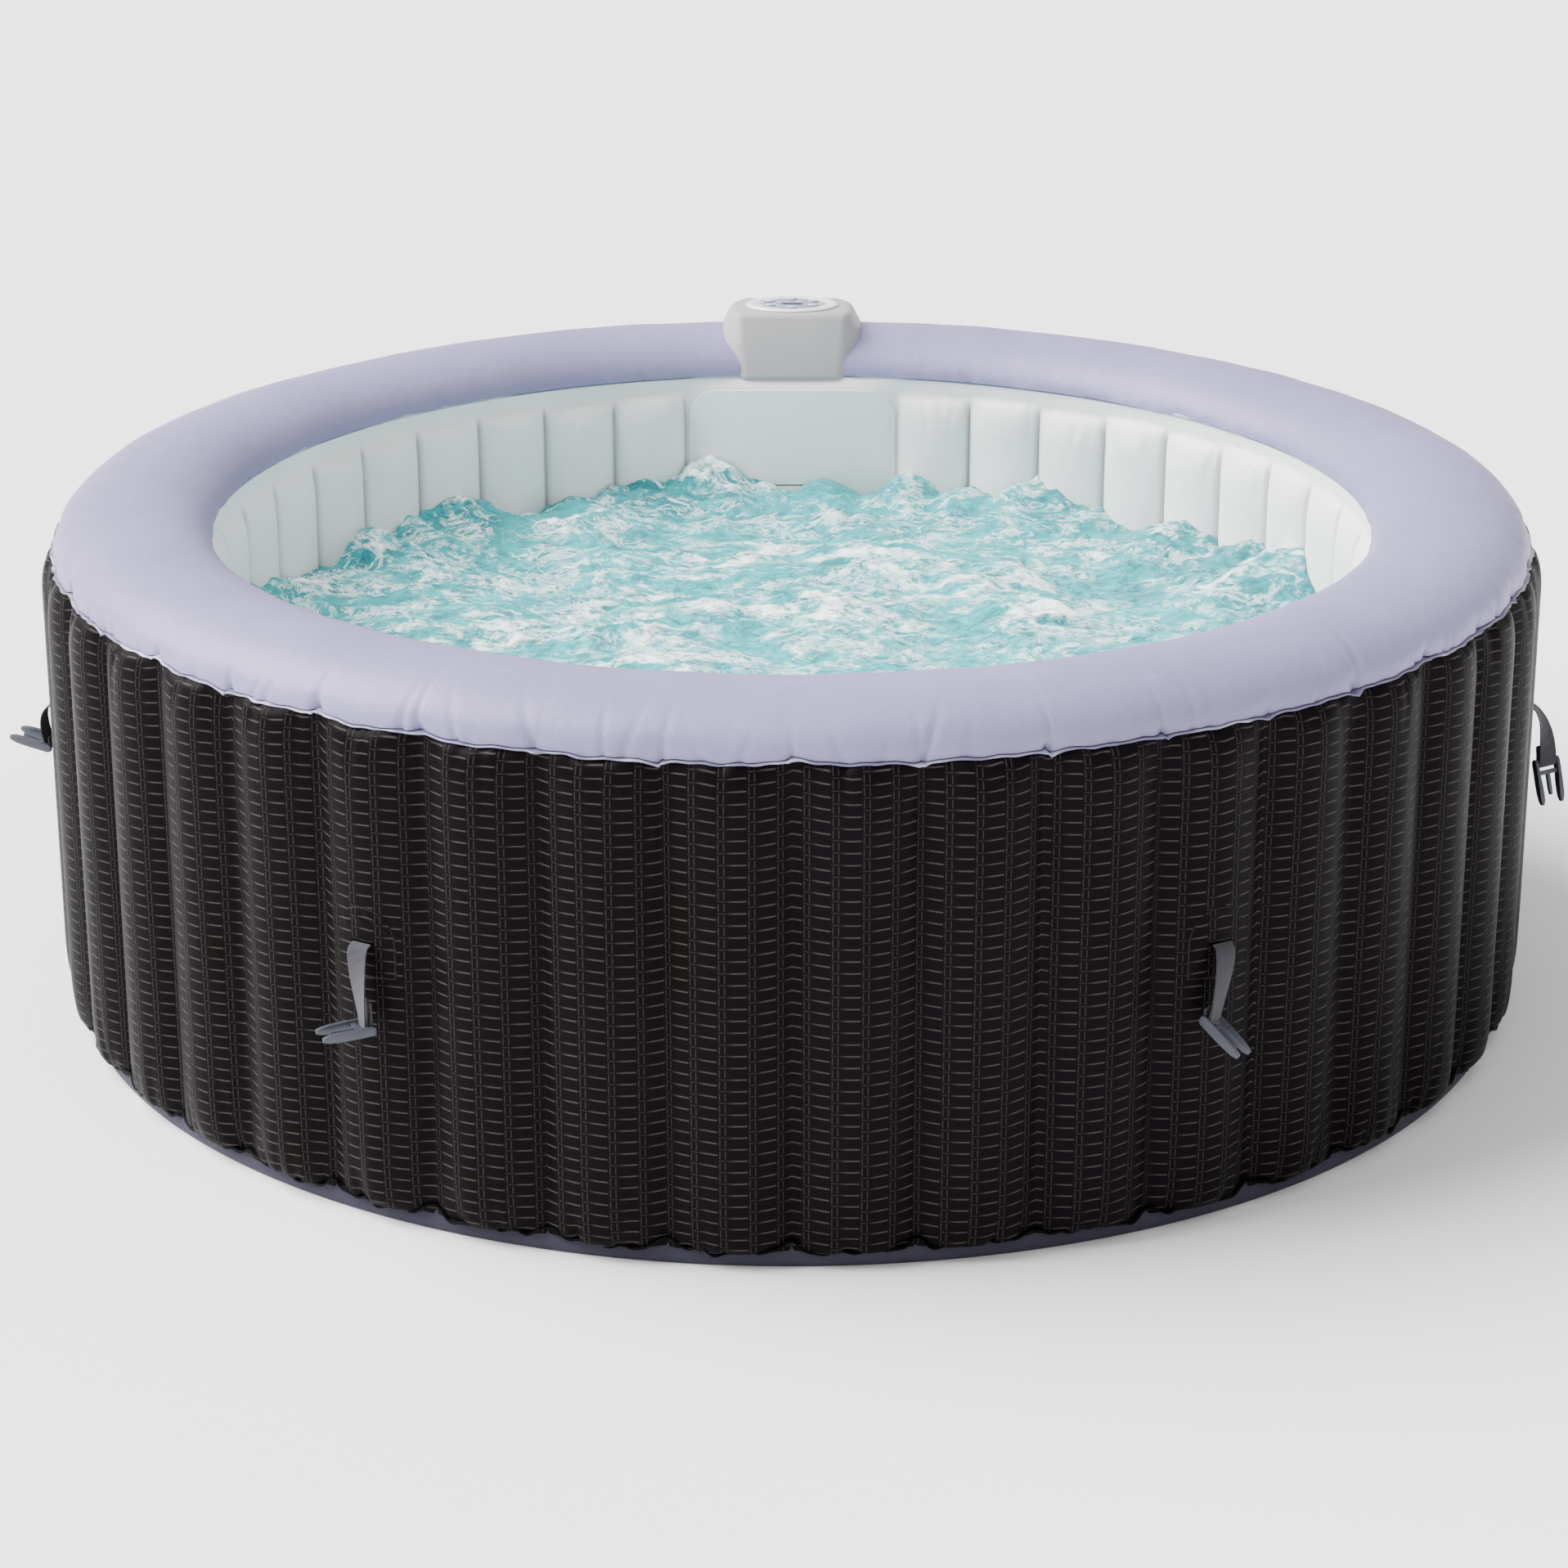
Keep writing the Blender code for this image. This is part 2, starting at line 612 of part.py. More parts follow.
    vent = box((-0.075, outer_bay_y - 0.05, GRILLE_MIDDLE - 0.060),
               (0.075, outer_bay_y + 0.05, GRILLE_MIDDLE + GRILLE_HEIGHT / 2 - 0.020))
    vent = cutter("vent_opening", vent)
    cut(outer, vent)
    cut(back_case, vent)
    grille = finish(
        "service_grille",
        rounded_plate(GRILLE_WIDTH, GRILLE_HEIGHT, 0.020, GRILLE_MIDDLE, outer_bay_y + GAP,
                      outer_bay_y + GAP + GRILLE_THICKNESS),
        plastic_grey,
    )
    slots = bmesh.new()
    for i in range(GRILLE_SLOTS):
        level = GRILLE_MIDDLE - 0.050 + 0.020 * i
        piece = box((-0.068, outer_bay_y - 0.02, level), (0.068, outer_bay_y + 0.02, level + 0.008))
        mesh = bpy.data.meshes.new("slot")
        piece.to_mesh(mesh)
        piece.free()
        slots.from_mesh(mesh)
        bpy.data.meshes.remove(mesh)
    cut(grille, cutter("grille_slots", slots))
    gland_z = GRILLE_MIDDLE - GRILLE_HEIGHT / 2 + 0.028
    gland_base = outer_bay_y + 2 * GAP + GRILLE_THICKNESS
    gland = [(CORD_HOLE_RADIUS, 0), (GLAND_RADIUS, 0), (GLAND_RADIUS, 0.008), (GLAND_RADIUS - 0.004, 0.018),
             (CORD_HOLE_RADIUS, 0.018)]
    finish("cord_gland", turned(gland, 16, along_y(0.060, gland_base, gland_z)), plastic_black)


# Control console --------------------------------------------------------------------------------
def console_loop(rows, inset, z_shift=0.0):
    """A closed loop of points from (y, half width, height) rows, front to back."""
    middle_y = sum(y for y, _, _ in rows) / len(rows)
    right, left = [], []
    for y, half, z in rows:
        y += inset if y < middle_y else -inset
        right.append(Vector((half - inset, y, z + z_shift)))
        left.append(Vector((inset - half, y, z + z_shift)))
    return right + left[::-1]


def make_console():
    top_middle = rim_middle_radius + 0.0086
    top_z = CREST_HEIGHT + 0.0243
    slope = sin(CONSOLE_TILT)
    front_y = top_middle - CONSOLE_DEPTH / 2
    back_y = top_middle + CONSOLE_DEPTH / 2

    def top_row(y, half):
        return (y, half, top_z - (y - top_middle) * slope)

    top = [top_row(front_y, 0.0765), top_row(front_y + 0.020, 0.0825), top_row(front_y + 0.050, 0.0850),
           top_row(back_y - 0.035, 0.0835), top_row(back_y, 0.068)]
    waist_z = rim_middle_height + 0.7 * RIM_HALF_HEIGHT
    waist = [(front_y - 0.022, 0.0725, waist_z), (front_y + 0.002, 0.0935, waist_z + 0.003),
             (front_y + 0.045, 0.1015, waist_z + 0.004), (back_y - 0.022, 0.0995, waist_z + 0.004),
             (back_y + 0.012, 0.075, waist_z)]
    foot_z = rim_middle_height - 0.004
    foot_y = liner_bay_y + SKIN + 0.0006  # just clear of the liner's back
    foot = [(foot_y, 0.068, foot_z), (foot_y + 0.016, 0.0860, foot_z), (front_y + 0.045, 0.0960, foot_z),
            (back_y - 0.010, 0.0960, foot_z), (SEAM_RADIUS + 0.012, 0.072, foot_z)]
    skirt = [(y, half, z - 0.03) for y, half, z in foot]

    housing = finish("console_housing", closed_grid([console_loop(r, 0) for r in (foot, waist, top)], False),
                     plastic_grey)
    hollow_top = console_loop(top, CONSOLE_WALL, -CONSOLE_WALL)
    hollow = [console_loop(skirt, CONSOLE_WALL), console_loop(foot, CONSOLE_WALL),
              console_loop(waist, CONSOLE_WALL), hollow_top]
    cut(housing, cutter("console_hollow", closed_grid(hollow, False)))
    saddle_steps = 12
    saddle = [ellipse_point(pi * i / saddle_steps, 2 * GAP + 0.0006) for i in range(saddle_steps + 1)]
    low = rim_middle_height - 0.04
    welt_r = SEAM_RADIUS + WELT_REACH + 0.0016
    saddle += [(saddle[-1][0], low), (welt_r, low), (welt_r, rim_middle_height + 0.0012)]
    cut(housing, cutter("rim_saddle", turned(saddle, RING_STEPS)))

    frame = bpy.data.objects.new("console_top_frame", None)
    bpy.context.scene.collection.objects.link(frame)
    frame.location = (0, top_middle, top_z)
    frame.rotation_euler = (-CONSOLE_TILT, 0, 0)
    bpy.context.view_layer.update()

    opening = turned(rod_profile(PANEL_RADIUS - 0.004, -0.02, 0.02), 40, frame.matrix_world)
    cut(housing, cutter("console_opening", opening))

    def on_top(name, shape, material):
        obj = finish(name, shape, material)
        obj.parent = frame
        return obj

    ring = [(PANEL_RADIUS + GAP, GAP), (DIAL_RADIUS, GAP), (DIAL_RADIUS, 0.002), (DIAL_RADIUS - 0.003, 0.004),
            (PANEL_RADIUS + GAP, 0.003)]
    on_top("dial_ring", turned(ring, 48), plastic_gloss)
    panel = on_top("control_panel", turned(rod_profile(PANEL_RADIUS, GAP, 0.0026), 48), panel_blue)
    display = rounded_flat(0.030, 0.016, 0.003, 0.0028, 0.0040)
    on_top("display_lens", display, lens_dark)
    names = ("power", "heat", "filter", "bubble", "warmer", "cooler")
    for i, name in enumerate(names):
        a = 2 * pi * i / len(names)
        x, y = BUTTON_CIRCLE * sin(a), BUTTON_CIRCLE * cos(a)
        well = turned(rod_profile(BUTTON_RADIUS + GAP, 0.0012, 0.02), 16, Matrix.Translation((x, y, 0)))
        well_tool = cutter("well_" + name, well)
        well_tool.parent = frame
        cut(panel, well_tool)
        cap = [(0, 0.0028), (BUTTON_RADIUS, 0.0028), (BUTTON_RADIUS, 0.0042), (BUTTON_RADIUS - 0.001, 0.0048),
               (0, 0.0050)]
        button = on_top("button_" + name, turned(cap, 16), button_grey)
        button.location = (x, y, 0)

    neck_low = unit_top + 2 * GAP
    neck_high = CREST_HEIGHT + 0.006
    neck = finish(
        "console_neck",
        box((-NECK_WIDTH / 2, rim_middle_radius - NECK_DEPTH / 2, neck_low),
            (NECK_WIDTH / 2, rim_middle_radius + NECK_DEPTH / 2, neck_high)),
        plastic_grey,
    )
    bore = box((-NECK_WIDTH / 2 + UNIT_WALL, rim_middle_radius - NECK_DEPTH / 2 + UNIT_WALL, neck_low - 0.01),
               (NECK_WIDTH / 2 - UNIT_WALL, rim_middle_radius + NECK_DEPTH / 2 - UNIT_WALL, neck_high + 0.01))
    cut(neck, cutter("neck_bore", bore))


def rounded_flat(width, depth, corner, low, high):
    """A small plate in the XY plane with round corners."""
    shape = rounded_plate(width, depth, corner, 0, low, high)
    bmesh.ops.rotate(shape, cent=(0, 0, 0), matrix=Matrix.Rotation(pi / 2, 3, "X"), verts=shape.verts)
    return shape


# Valves -----------------------------------------------------------------------------------------
# How far the crest of an outer chamber is from the axis, at mid height.
chamber_face = outer_valley + OUTER_BULGE


def make_valves(outer, liner):
    azimuth = 18.5 * outer_pitch
    face = chamber_face
    seat = face + GAP
    off_crest = Matrix.Rotation(0.1, 4, "Z")  # keeps the hole's corners off the chamber's crest line
    place = along_radius(azimuth, face, valve_height) @ off_crest
    hole = turned(rod_profile(VALVE_RADIUS + FIT, -0.04, 0.03), 20, place)
    cut(outer, cutter("air_valve_hole", hole))
    body = [(VALVE_RADIUS - 0.004, -0.020), (VALVE_RADIUS, -0.020), (VALVE_RADIUS, 0),
            (VALVE_RADIUS + 0.008, 0), (VALVE_RADIUS + 0.008, 0.003), (VALVE_RADIUS - 0.004, 0.003)]
    finish("air_valve_body", turned(body, 20, along_radius(azimuth, seat, valve_height)), plastic_grey)
    cap = [(0, 0.0034), (VALVE_RADIUS + 0.004, 0.0034), (VALVE_RADIUS + 0.004, 0.010),
           (VALVE_RADIUS + 0.001, 0.013), (0, 0.013)]
    finish("air_valve_cap", turned(cap, 20, along_radius(azimuth, seat, valve_height)), plastic_grey,
           (seat * sin(azimuth), -seat * cos(azimuth), valve_height))

    # The drain passes midway between the webs, whose outer and inner ends aren't in line.
    azimuth = -18.5 * (outer_pitch + liner_pitch) / 2
    inner_azimuth_face = liner_valley - LINER_BULGE - GAP
    place = along_radius(azimuth, face, DRAIN_HEIGHT) @ off_crest
    passage = turned(rod_profile(DRAIN_RADIUS + FIT, -0.30, 0.05), 20, place)
    passage_tool = cutter("drain_passage", passage)
    cut(outer, passage_tool)
    cut(liner, passage_tool)
    length = seat - inner_azimuth_face
    pipe = [(DRAIN_RADIUS - 0.003, -length), (DRAIN_RADIUS, -length), (DRAIN_RADIUS, 0),
            (DRAIN_RADIUS + 0.008, 0), (DRAIN_RADIUS + 0.008, 0.003), (DRAIN_RADIUS - 0.003, 0.003)]
    finish("drain_pipe", turned(pipe, 20, along_radius(azimuth, seat, DRAIN_HEIGHT)), plastic_grey)
    cap = [(0, 0.0034), (DRAIN_RADIUS + 0.004, 0.0034), (DRAIN_RADIUS + 0.004, 0.010),
           (DRAIN_RADIUS + 0.001, 0.013), (0, 0.013)]
    finish("drain_cap", turned(cap, 20, along_radius(azimuth, seat, DRAIN_HEIGHT)), plastic_grey,
           (seat * sin(azimuth), -seat * cos(azimuth), DRAIN_HEIGHT))
    plug = [(0, 0), (DRAIN_RADIUS + 0.006, 0), (DRAIN_RADIUS + 0.006, -0.005), (0, -0.008)]
    plug_r = inner_azimuth_face - GAP
    finish("drain_plug", turned(plug, 20, along_radius(azimuth, plug_r, DRAIN_HEIGHT)), plastic_white,
           (plug_r * sin(azimuth), -plug_r * cos(azimuth), DRAIN_HEIGHT))


# Cover buckles ----------------------------------------------------------------------------------
# Each strap is a list of (out, along the wall, up, twist in degrees), from its slot to the buckle's bar.
HANGING = [(0, 0, 0, 0), (0.008, 0, -0.004, 0), (0.014, -0.002, -0.020, 0), (0.017, -0.005, -0.048, 0),
           (0.019, -0.008, -0.078, 0)]
LEANING = [(0, 0, 0, 0), (0.008, 0, -0.003, -2), (0.014, -0.004, -0.018, -8),
           (0.017, -0.009, -0.038, -16), (0.0185, -0.014, -0.057, -23), (0.019, -0.0185, -0.077, -28)]
TWISTED = [(0, 0, 0, 0), (0.009, 0, -0.003, 2), (0.0145, 0.003, -0.012, 5), (0.018, 0.0055, -0.026, 11),
           (0.0205, 0.008, -0.042, 20), (0.022, 0.0105, -0.058, 29), (0.023, 0.0125, -0.071, 35),
           (0.0231, 0.0133, -0.084, 38)]
STANDING = [(0, 0, 0, 0), (0.011, 0, 0.001, 2), (0.019, 0, -0.005, 6), (0.0225, 0, -0.018, 12),
            (0.0215, 0, -0.034, 17), (0.0180, 0, -0.050, 20)]
LONG = [(0, 0, 0, 0), (0.010, 0, -0.001, 4), (0.019, 0, -0.008, 13), (0.026, 0, -0.020, 27),
        (0.031, 0, -0.034, 42), (0.034, 0, -0.049, 55), (0.036, 0, -0.064, 63), (0.037, 0, -0.078, 66)]
# Each strap's place in chambers from the front, its points, where its buckle points (out, along, up) and
# the length of its loose end.
STRAPS = {
    "front_left": (-3.5, TWISTED, (0.79, -0.62, -0.05), 0.030),
    "front_right": (3.5, LEANING, (0.75, 0.40, -0.60), 0.014),
    "left": (-10.5, STANDING, (0.94, -0.34, 0.18), 0.012),
    "right": (10.5, LONG, (-0.10, -0.35, -1), 0.024),
    "rear_left": (-17.5, HANGING, (0.1, 0.1, -1), 0.014),
    "rear_right": (17.5, HANGING, (0.1, -0.1, -1), 0.014),
}


def buckle_shape():
    """The tongue of a side-release buckle, lying flat.

    Its bar is on the X axis. Two thick spring arms and a thin guide point along +Y.
    """
    half = BUCKLE_WIDTH / 2
    window = STRAP_WIDTH / 2 + 0.0006
    rail = window + 0.0004
    guide = 0.0024
    thin, thick = BUCKLE_THICKNESS / 2, ARM_THICKNESS / 2
    rows = (-BAR_RADIUS, BAR_RADIUS, BAR_RADIUS + 0.007, BAR_RADIUS + 0.0125)
    columns = [(-half, thick), (-rail, thick), (-window, thin), (-window + 0.003, thin), (-guide, thin),
               (guide, thin), (window - 0.003, thin), (window, thin), (rail, thick), (half, thick)]
    points = [(x, y, t) for y in rows for x, t in columns]
    size = len(columns)

    def cell(row, column):
        first = row * size + column
        return [first, first + 1, first + 1 + size, first + size]

    cells = [cell(0, c) for c in range(size - 1)]
    cells += [cell(1, c) for c in (0, 1, size - 3, size - 2)]
    cells += [cell(2, c) for c in range(size - 1)]
    front = rows[3]

    def limb(first_pair, outline, forward=True):
        """Adds a limb to two neighbouring points, through (left, right, y, half thickness)."""
        previous = [first_pair, first_pair + 1]
        for left, right, y, t in outline:
            first = len(points)
            points.extend([(left, y, t), (right, y, t)])
            ring = [previous[0], previous[1], first + 1, first]
            cells.append(ring if forward else ring[::-1])
            previous = [first, first + 1]

    tip = BUCKLE_LENGTH - BAR_RADIUS
    reach = tip - front
    limb(3 * size + 4, [(-guide, guide, front + 0.50 * reach, thin),
                        (-0.6 * guide, 0.6 * guide, front + 0.70 * reach, thin)])
    arm = [(rail - 0.0012, half, front + 0.30 * reach, thick),
           (rail - 0.0018, half, front + 0.62 * reach, 0.9 * thick),
           (rail - 0.0020, half - 0.0006, front + 0.84 * reach, 0.75 * thick),
           (rail - 0.0008, half - 0.0018, tip, 0.45 * thick)]
    heel = [(rail, half, -ARM_HEEL + 0.0025, 0.85 * thick),
            (rail + 0.0006, half - 0.0008, -ARM_HEEL, 0.55 * thick)]
    limb(4 * size - 2, arm)
    limb(size - 2, heel, False)
    limb(3 * size, [(-b, -a, y, t) for a, b, y, t in arm])
    limb(0, [(-b, -a, y, t) for a, b, y, t in heel], False)
    return slab(points, cells)


def make_straps():
    bar_reach = sqrt(BAR_RADIUS**2 + (BUCKLE_THICKNESS / 2) ** 2) + 0.0003
    turn_radius = bar_reach / cos(pi / 8) + STRAP_THICKNESS / 2
    for name, (chamber, shape, ahead, tail) in STRAPS.items():
        azimuth = chamber * outer_pitch
        out = Vector((sin(azimuth), -cos(azimuth), 0))
        along = Vector((cos(azimuth), sin(azimuth), 0))
        up = Vector((0, 0, 1))
        seat = chamber_face + GAP
        finish(
            "patch_" + name,
            turned(rod_profile(PATCH_RADIUS, 0, PATCH_THICKNESS), 20,
                   along_radius(azimuth, seat, STRAP_HEIGHT)),
            vinyl_woven,
        )
        slot = out * (seat + PATCH_THICKNESS + GAP + STRAP_THICKNESS / 2) + up * STRAP_HEIGHT
        points, widths = [], []
        for a, b, c, twist in shape:
            points.append(slot + out * a + along * b + up * c)
            turn = radians(twist)
            widths.append(along * cos(turn) + out * sin(turn))
        end = (points[-1] - points[-2]).normalized()
        across = (widths[-1] - end * widths[-1].dot(end)).normalized()
        side = across.cross(end)  # the loose end lies behind the strap
        bar = points[-1] + end * 0.004 + side * turn_radius
        for degree in (0, 45, 90, 135, 180):
            a = radians(degree)
            points.append(bar + turn_radius * (end * sin(a) - side * cos(a)))
            widths.append(across)
        for back in (0.5 * tail, tail):
            points.append(bar + side * turn_radius - end * back)
            widths.append(across)
        finish("strap_" + name, ribbon(points, widths, STRAP_WIDTH, STRAP_THICKNESS), webbing_grey, slot)

        direction = out * ahead[0] + along * ahead[1] + up * ahead[2]
        direction = (direction - across * direction.dot(across)).normalized()
        normal = across.cross(direction)
        tongue = buckle_shape()
        frame = Matrix((across, direction, normal)).transposed().to_4x4()
        frame.translation = bar
        bmesh.ops.transform(tongue, matrix=frame, verts=tongue.verts)
        finish("buckle_" + name, tongue, plastic_buckle, bar)


clear_scene()
vinyl_woven = make_material("vinyl_woven", (0.030, 0.026, 0.028), 0.42)
vinyl_lavender = make_material("vinyl_lavender", (0.52, 0.49, 0.60), 0.38)
vinyl_white = make_material("vinyl_white", (0.80, 0.81, 0.80), 0.40)
vinyl_black = make_material("vinyl_black", (0.020, 0.019, 0.020), 0.45)
plastic_grey = make_material("plastic_grey", (0.42, 0.42, 0.43), 0.40)
plastic_white = make_material("plastic_white", (0.82, 0.83, 0.83), 0.35)
plastic_gloss = make_material("plastic_gloss", (0.90, 0.90, 0.92), 0.20)
plastic_black = make_material("plastic_black", (0.05, 0.05, 0.05), 0.45)
plastic_buckle = make_material("plastic_buckle", (0.13, 0.14, 0.17), 0.45)
panel_blue = make_material("panel_blue", (0.45, 0.48, 0.60), 0.30)
button_grey = make_material("button_grey", (0.60, 0.63, 0.72), 0.35)
lens_dark = make_material("lens_dark", (0.06, 0.08, 0.12), 0.15)
webbing_grey = make_material("webbing_grey", (0.14, 0.14, 0.17), 0.85)
filter_paper = make_material("filter_paper", (0.75, 0.78, 0.82), 0.90)
board_green = make_material("board_green", (0.05, 0.25, 0.12), 0.50)
metal_dark = make_material("metal_dark", (0.25, 0.25, 0.26), 0.40, 1.0)
metal_steel = make_material("metal_steel", (0.60, 0.60, 0.60), 0.30, 1.0)

outer_wall, liner_wall = make_walls()
make_rim()
make_seams()
make_base()
make_ribs()
make_unit(outer_wall, liner_wall)
make_console()
make_valves(outer_wall, liner_wall)
make_straps()
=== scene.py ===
"""Round inflatable hot tub: woven-print wall, soft rim, white chambered liner and a console on the rim.

The tub stands on z = 0 with its axis on Z, its front towards -Y and its console at the back, +Y.
An azimuth is counted from the front towards +X.
"""

import json
from math import asin, cos, pi, radians, sin, sqrt

import bpy
import numpy as np
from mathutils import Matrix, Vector, noise

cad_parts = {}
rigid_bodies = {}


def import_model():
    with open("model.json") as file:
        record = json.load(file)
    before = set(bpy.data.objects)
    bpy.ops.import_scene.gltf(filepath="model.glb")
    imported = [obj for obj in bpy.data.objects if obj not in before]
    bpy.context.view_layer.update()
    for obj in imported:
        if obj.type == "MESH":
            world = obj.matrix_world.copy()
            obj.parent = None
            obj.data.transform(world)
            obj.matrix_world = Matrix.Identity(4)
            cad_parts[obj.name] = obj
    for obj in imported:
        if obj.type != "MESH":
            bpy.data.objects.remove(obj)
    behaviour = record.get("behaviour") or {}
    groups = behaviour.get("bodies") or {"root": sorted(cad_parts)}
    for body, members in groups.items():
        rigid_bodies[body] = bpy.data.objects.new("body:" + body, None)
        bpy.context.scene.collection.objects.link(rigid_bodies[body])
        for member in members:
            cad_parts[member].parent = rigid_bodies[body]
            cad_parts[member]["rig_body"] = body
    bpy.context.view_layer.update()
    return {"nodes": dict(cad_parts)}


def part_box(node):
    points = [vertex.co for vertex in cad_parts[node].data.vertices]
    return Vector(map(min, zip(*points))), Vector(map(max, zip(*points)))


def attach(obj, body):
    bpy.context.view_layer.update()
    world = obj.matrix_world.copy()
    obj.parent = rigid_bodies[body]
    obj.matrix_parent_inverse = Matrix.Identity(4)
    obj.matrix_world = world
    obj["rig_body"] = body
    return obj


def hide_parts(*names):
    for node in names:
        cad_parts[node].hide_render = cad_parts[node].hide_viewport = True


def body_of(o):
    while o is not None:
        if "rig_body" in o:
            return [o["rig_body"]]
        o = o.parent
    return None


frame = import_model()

bpy.ops.object.select_all(action="DESELECT")


# --- Camera -------------------------------------------------------------------------------------
# A long lens a little above the rim, aimed at the tub's axis below the middle of the wall.

aim_height = 0.2307
camera_distance = 5.101
camera_rise = radians(19.94)
bpy.ops.object.camera_add(
    location=(0, -camera_distance * cos(camera_rise), aim_height + camera_distance * sin(camera_rise)),
    rotation=(pi / 2 - camera_rise, 0, 0),
)
camera = bpy.context.active_object
camera.data.sensor_width = 36
camera.data.lens = 91.3
camera.data.shift_x = -0.0049
bpy.context.scene.camera = camera


# --- Studio -------------------------------------------------------------------------------------
# A white floor under a soft white surround. The main light is broad and comes from high on the left.

class Field:
    """A shader socket that takes part in sums: each sum adds its Math node."""

    def __init__(self, socket):
        self.socket = socket
        self.tree = socket.id_data

    def node(self, kind, *values, output=0, **settings):
        """Adds a node: its settings first, then its inputs in order, or as (socket, value) pairs."""
        new = self.tree.nodes.new("ShaderNode" + kind)
        for key, value in settings.items():
            setattr(new, key, value)
        for index, value in enumerate(values):
            key = index
            if isinstance(value, tuple) and len(value) == 2:
                key, value = value
            if isinstance(value, Field):
                self.tree.links.new(value.socket, new.inputs[key])
            elif value is not None:
                new.inputs[key].default_value = value
        return Field(new.outputs[output])

    def math(self, operation, *others, clamp=False):
        return self.node("Math", self, *others, operation=operation, use_clamp=clamp)

    def __add__(self, other):
        return self.math("ADD", other)

    def __radd__(self, other):
        return self.math("ADD", other)

    def __sub__(self, other):
        return self.math("SUBTRACT", other)

    def __rsub__(self, other):
        return self.node("Math", other, self, operation="SUBTRACT")

    def __mul__(self, other):
        return self.math("MULTIPLY", other)

    def __rmul__(self, other):
        return self.math("MULTIPLY", other)

    def __mod__(self, other):
        return self.math("FLOORED_MODULO", other)

    def __abs__(self):
        return self.math("ABSOLUTE")

    def floor(self):
        return self.math("FLOOR")

    def larger(self, other):
        return self.math("MAXIMUM", other)

    def rise(self, low, high):
        """0 below low, 1 above high, smooth between."""
        return self.node("MapRange", self, low, high, 0.0, 1.0, interpolation_type="SMOOTHSTEP")

    def blend(self, first, second):
        """first where this is 0, second where it is 1. Both are colours."""
        pairs = [(0, self)]
        for key, colour in ((6, first), (7, second)):
            pairs.append((key, colour if isinstance(colour, Field) else (*colour, 1.0)))
        return self.node("Mix", *pairs, data_type="RGBA", output=2)

    def cells(self, scale, detail=2.0, rough=0.5, warp=0.0, output=0):
        """Noise read at this vector."""
        return self.node("TexNoise", ("Vector", self), ("Scale", scale), ("Detail", detail),
                         ("Roughness", rough), ("Distortion", warp), output=output)

    def stretched(self, *scale):
        return self.node("Mapping", ("Vector", self), ("Scale", scale))

    def bump(self, distance, strength=1.0):
        return self.node("Bump", ("Strength", strength), ("Distance", distance), ("Height", self))


def finish(name, **constants):
    """A material, its shader's constants set. Gives the material, its place field and its inputs."""
    material = bpy.data.materials.new(name)
    material.use_nodes = True
    shader = material.node_tree.nodes["Principled BSDF"]
    for key, value in constants.items():
        shader.inputs[key.replace("_", " ").title().replace("Ior", "IOR")].default_value = value
    place = Field(shader.outputs[0]).node("TexCoord", output=3)
    return material, place, shader.inputs


def feed(inputs, **fields):
    for key, field in fields.items():
        field.tree.links.new(field.socket, inputs[key.replace("_", " ").title()])


bpy.ops.mesh.primitive_plane_add(size=60, location=(0, 0, -0.0005))
floor = bpy.context.active_object
floor.name = "studio_floor"
floor_white, place, inputs = finish("floor_white", roughness=0.9)
feed(inputs, base_color=place.cells(0.5).rise(0.2, 0.8).blend((0.88, 0.88, 0.88), (0.90, 0.90, 0.90)))
floor.data.materials.append(floor_white)

world = bpy.data.worlds.new("studio_surround")
world.use_nodes = True
world.node_tree.nodes["Background"].inputs["Color"].default_value = (1.0, 1.0, 1.0, 1.0)
world.node_tree.nodes["Background"].inputs["Strength"].default_value = 1.1
bpy.context.scene.world = world
bpy.ops.object.light_add(type="SUN", location=(-3, 1, 4))
sun = bpy.context.active_object
sun.name = "soft_key"
sun.data.angle = radians(55)
sun.data.energy = 12
sun.rotation_euler = Vector((-0.74, 0.12, 0.72)).to_track_quat("Z", "Y").to_euler()


# --- Outer wall ---------------------------------------------------------------------------------
# One sheet of printed vinyl round the tub, welded to a web at each seam, so that the air bulges it
# between seams. It runs flat over the bay at the back, behind which the pump unit sits.

CHAMBERS = 40
seam_radius = 0.912
rim_half_width = 0.0966
rim_half_height = 0.0552
crest_height = 0.641
rim_radius = seam_radius - rim_half_width
rim_height = crest_height - rim_half_height
outer_valley = seam_radius - 0.007
outer_bulge = 0.023
outer_bay = 0.270
outer_bay_y = sqrt(outer_valley**2 - (outer_bay / 2) ** 2)
outer_pitch = 2 * (pi - asin(outer_bay / 2 / outer_valley)) / CHAMBERS
wall_bottom, wall_top = 0.0205, 0.5824
top_round, foot_round = 0.050, 0.060
crease_depth_top, crease_depth_foot = 0.0035, 0.0045
strand_columns = 192
columns_per_chamber = strand_columns / (CHAMBERS + 2)
strand_spacing = 0.0136

draw = np.random.default_rng(3)
seam_rise = draw.uniform(0.35, 1.0, CHAMBERS + 1) * draw.choice([-1, 1, -1], CHAMBERS + 1)
seam_rise[CHAMBERS // 2 - 1:CHAMBERS // 2 + 2] = (-0.9, 0.8, -1.0)
edge_tilt = draw.uniform(-1, 1, CHAMBERS + 1)


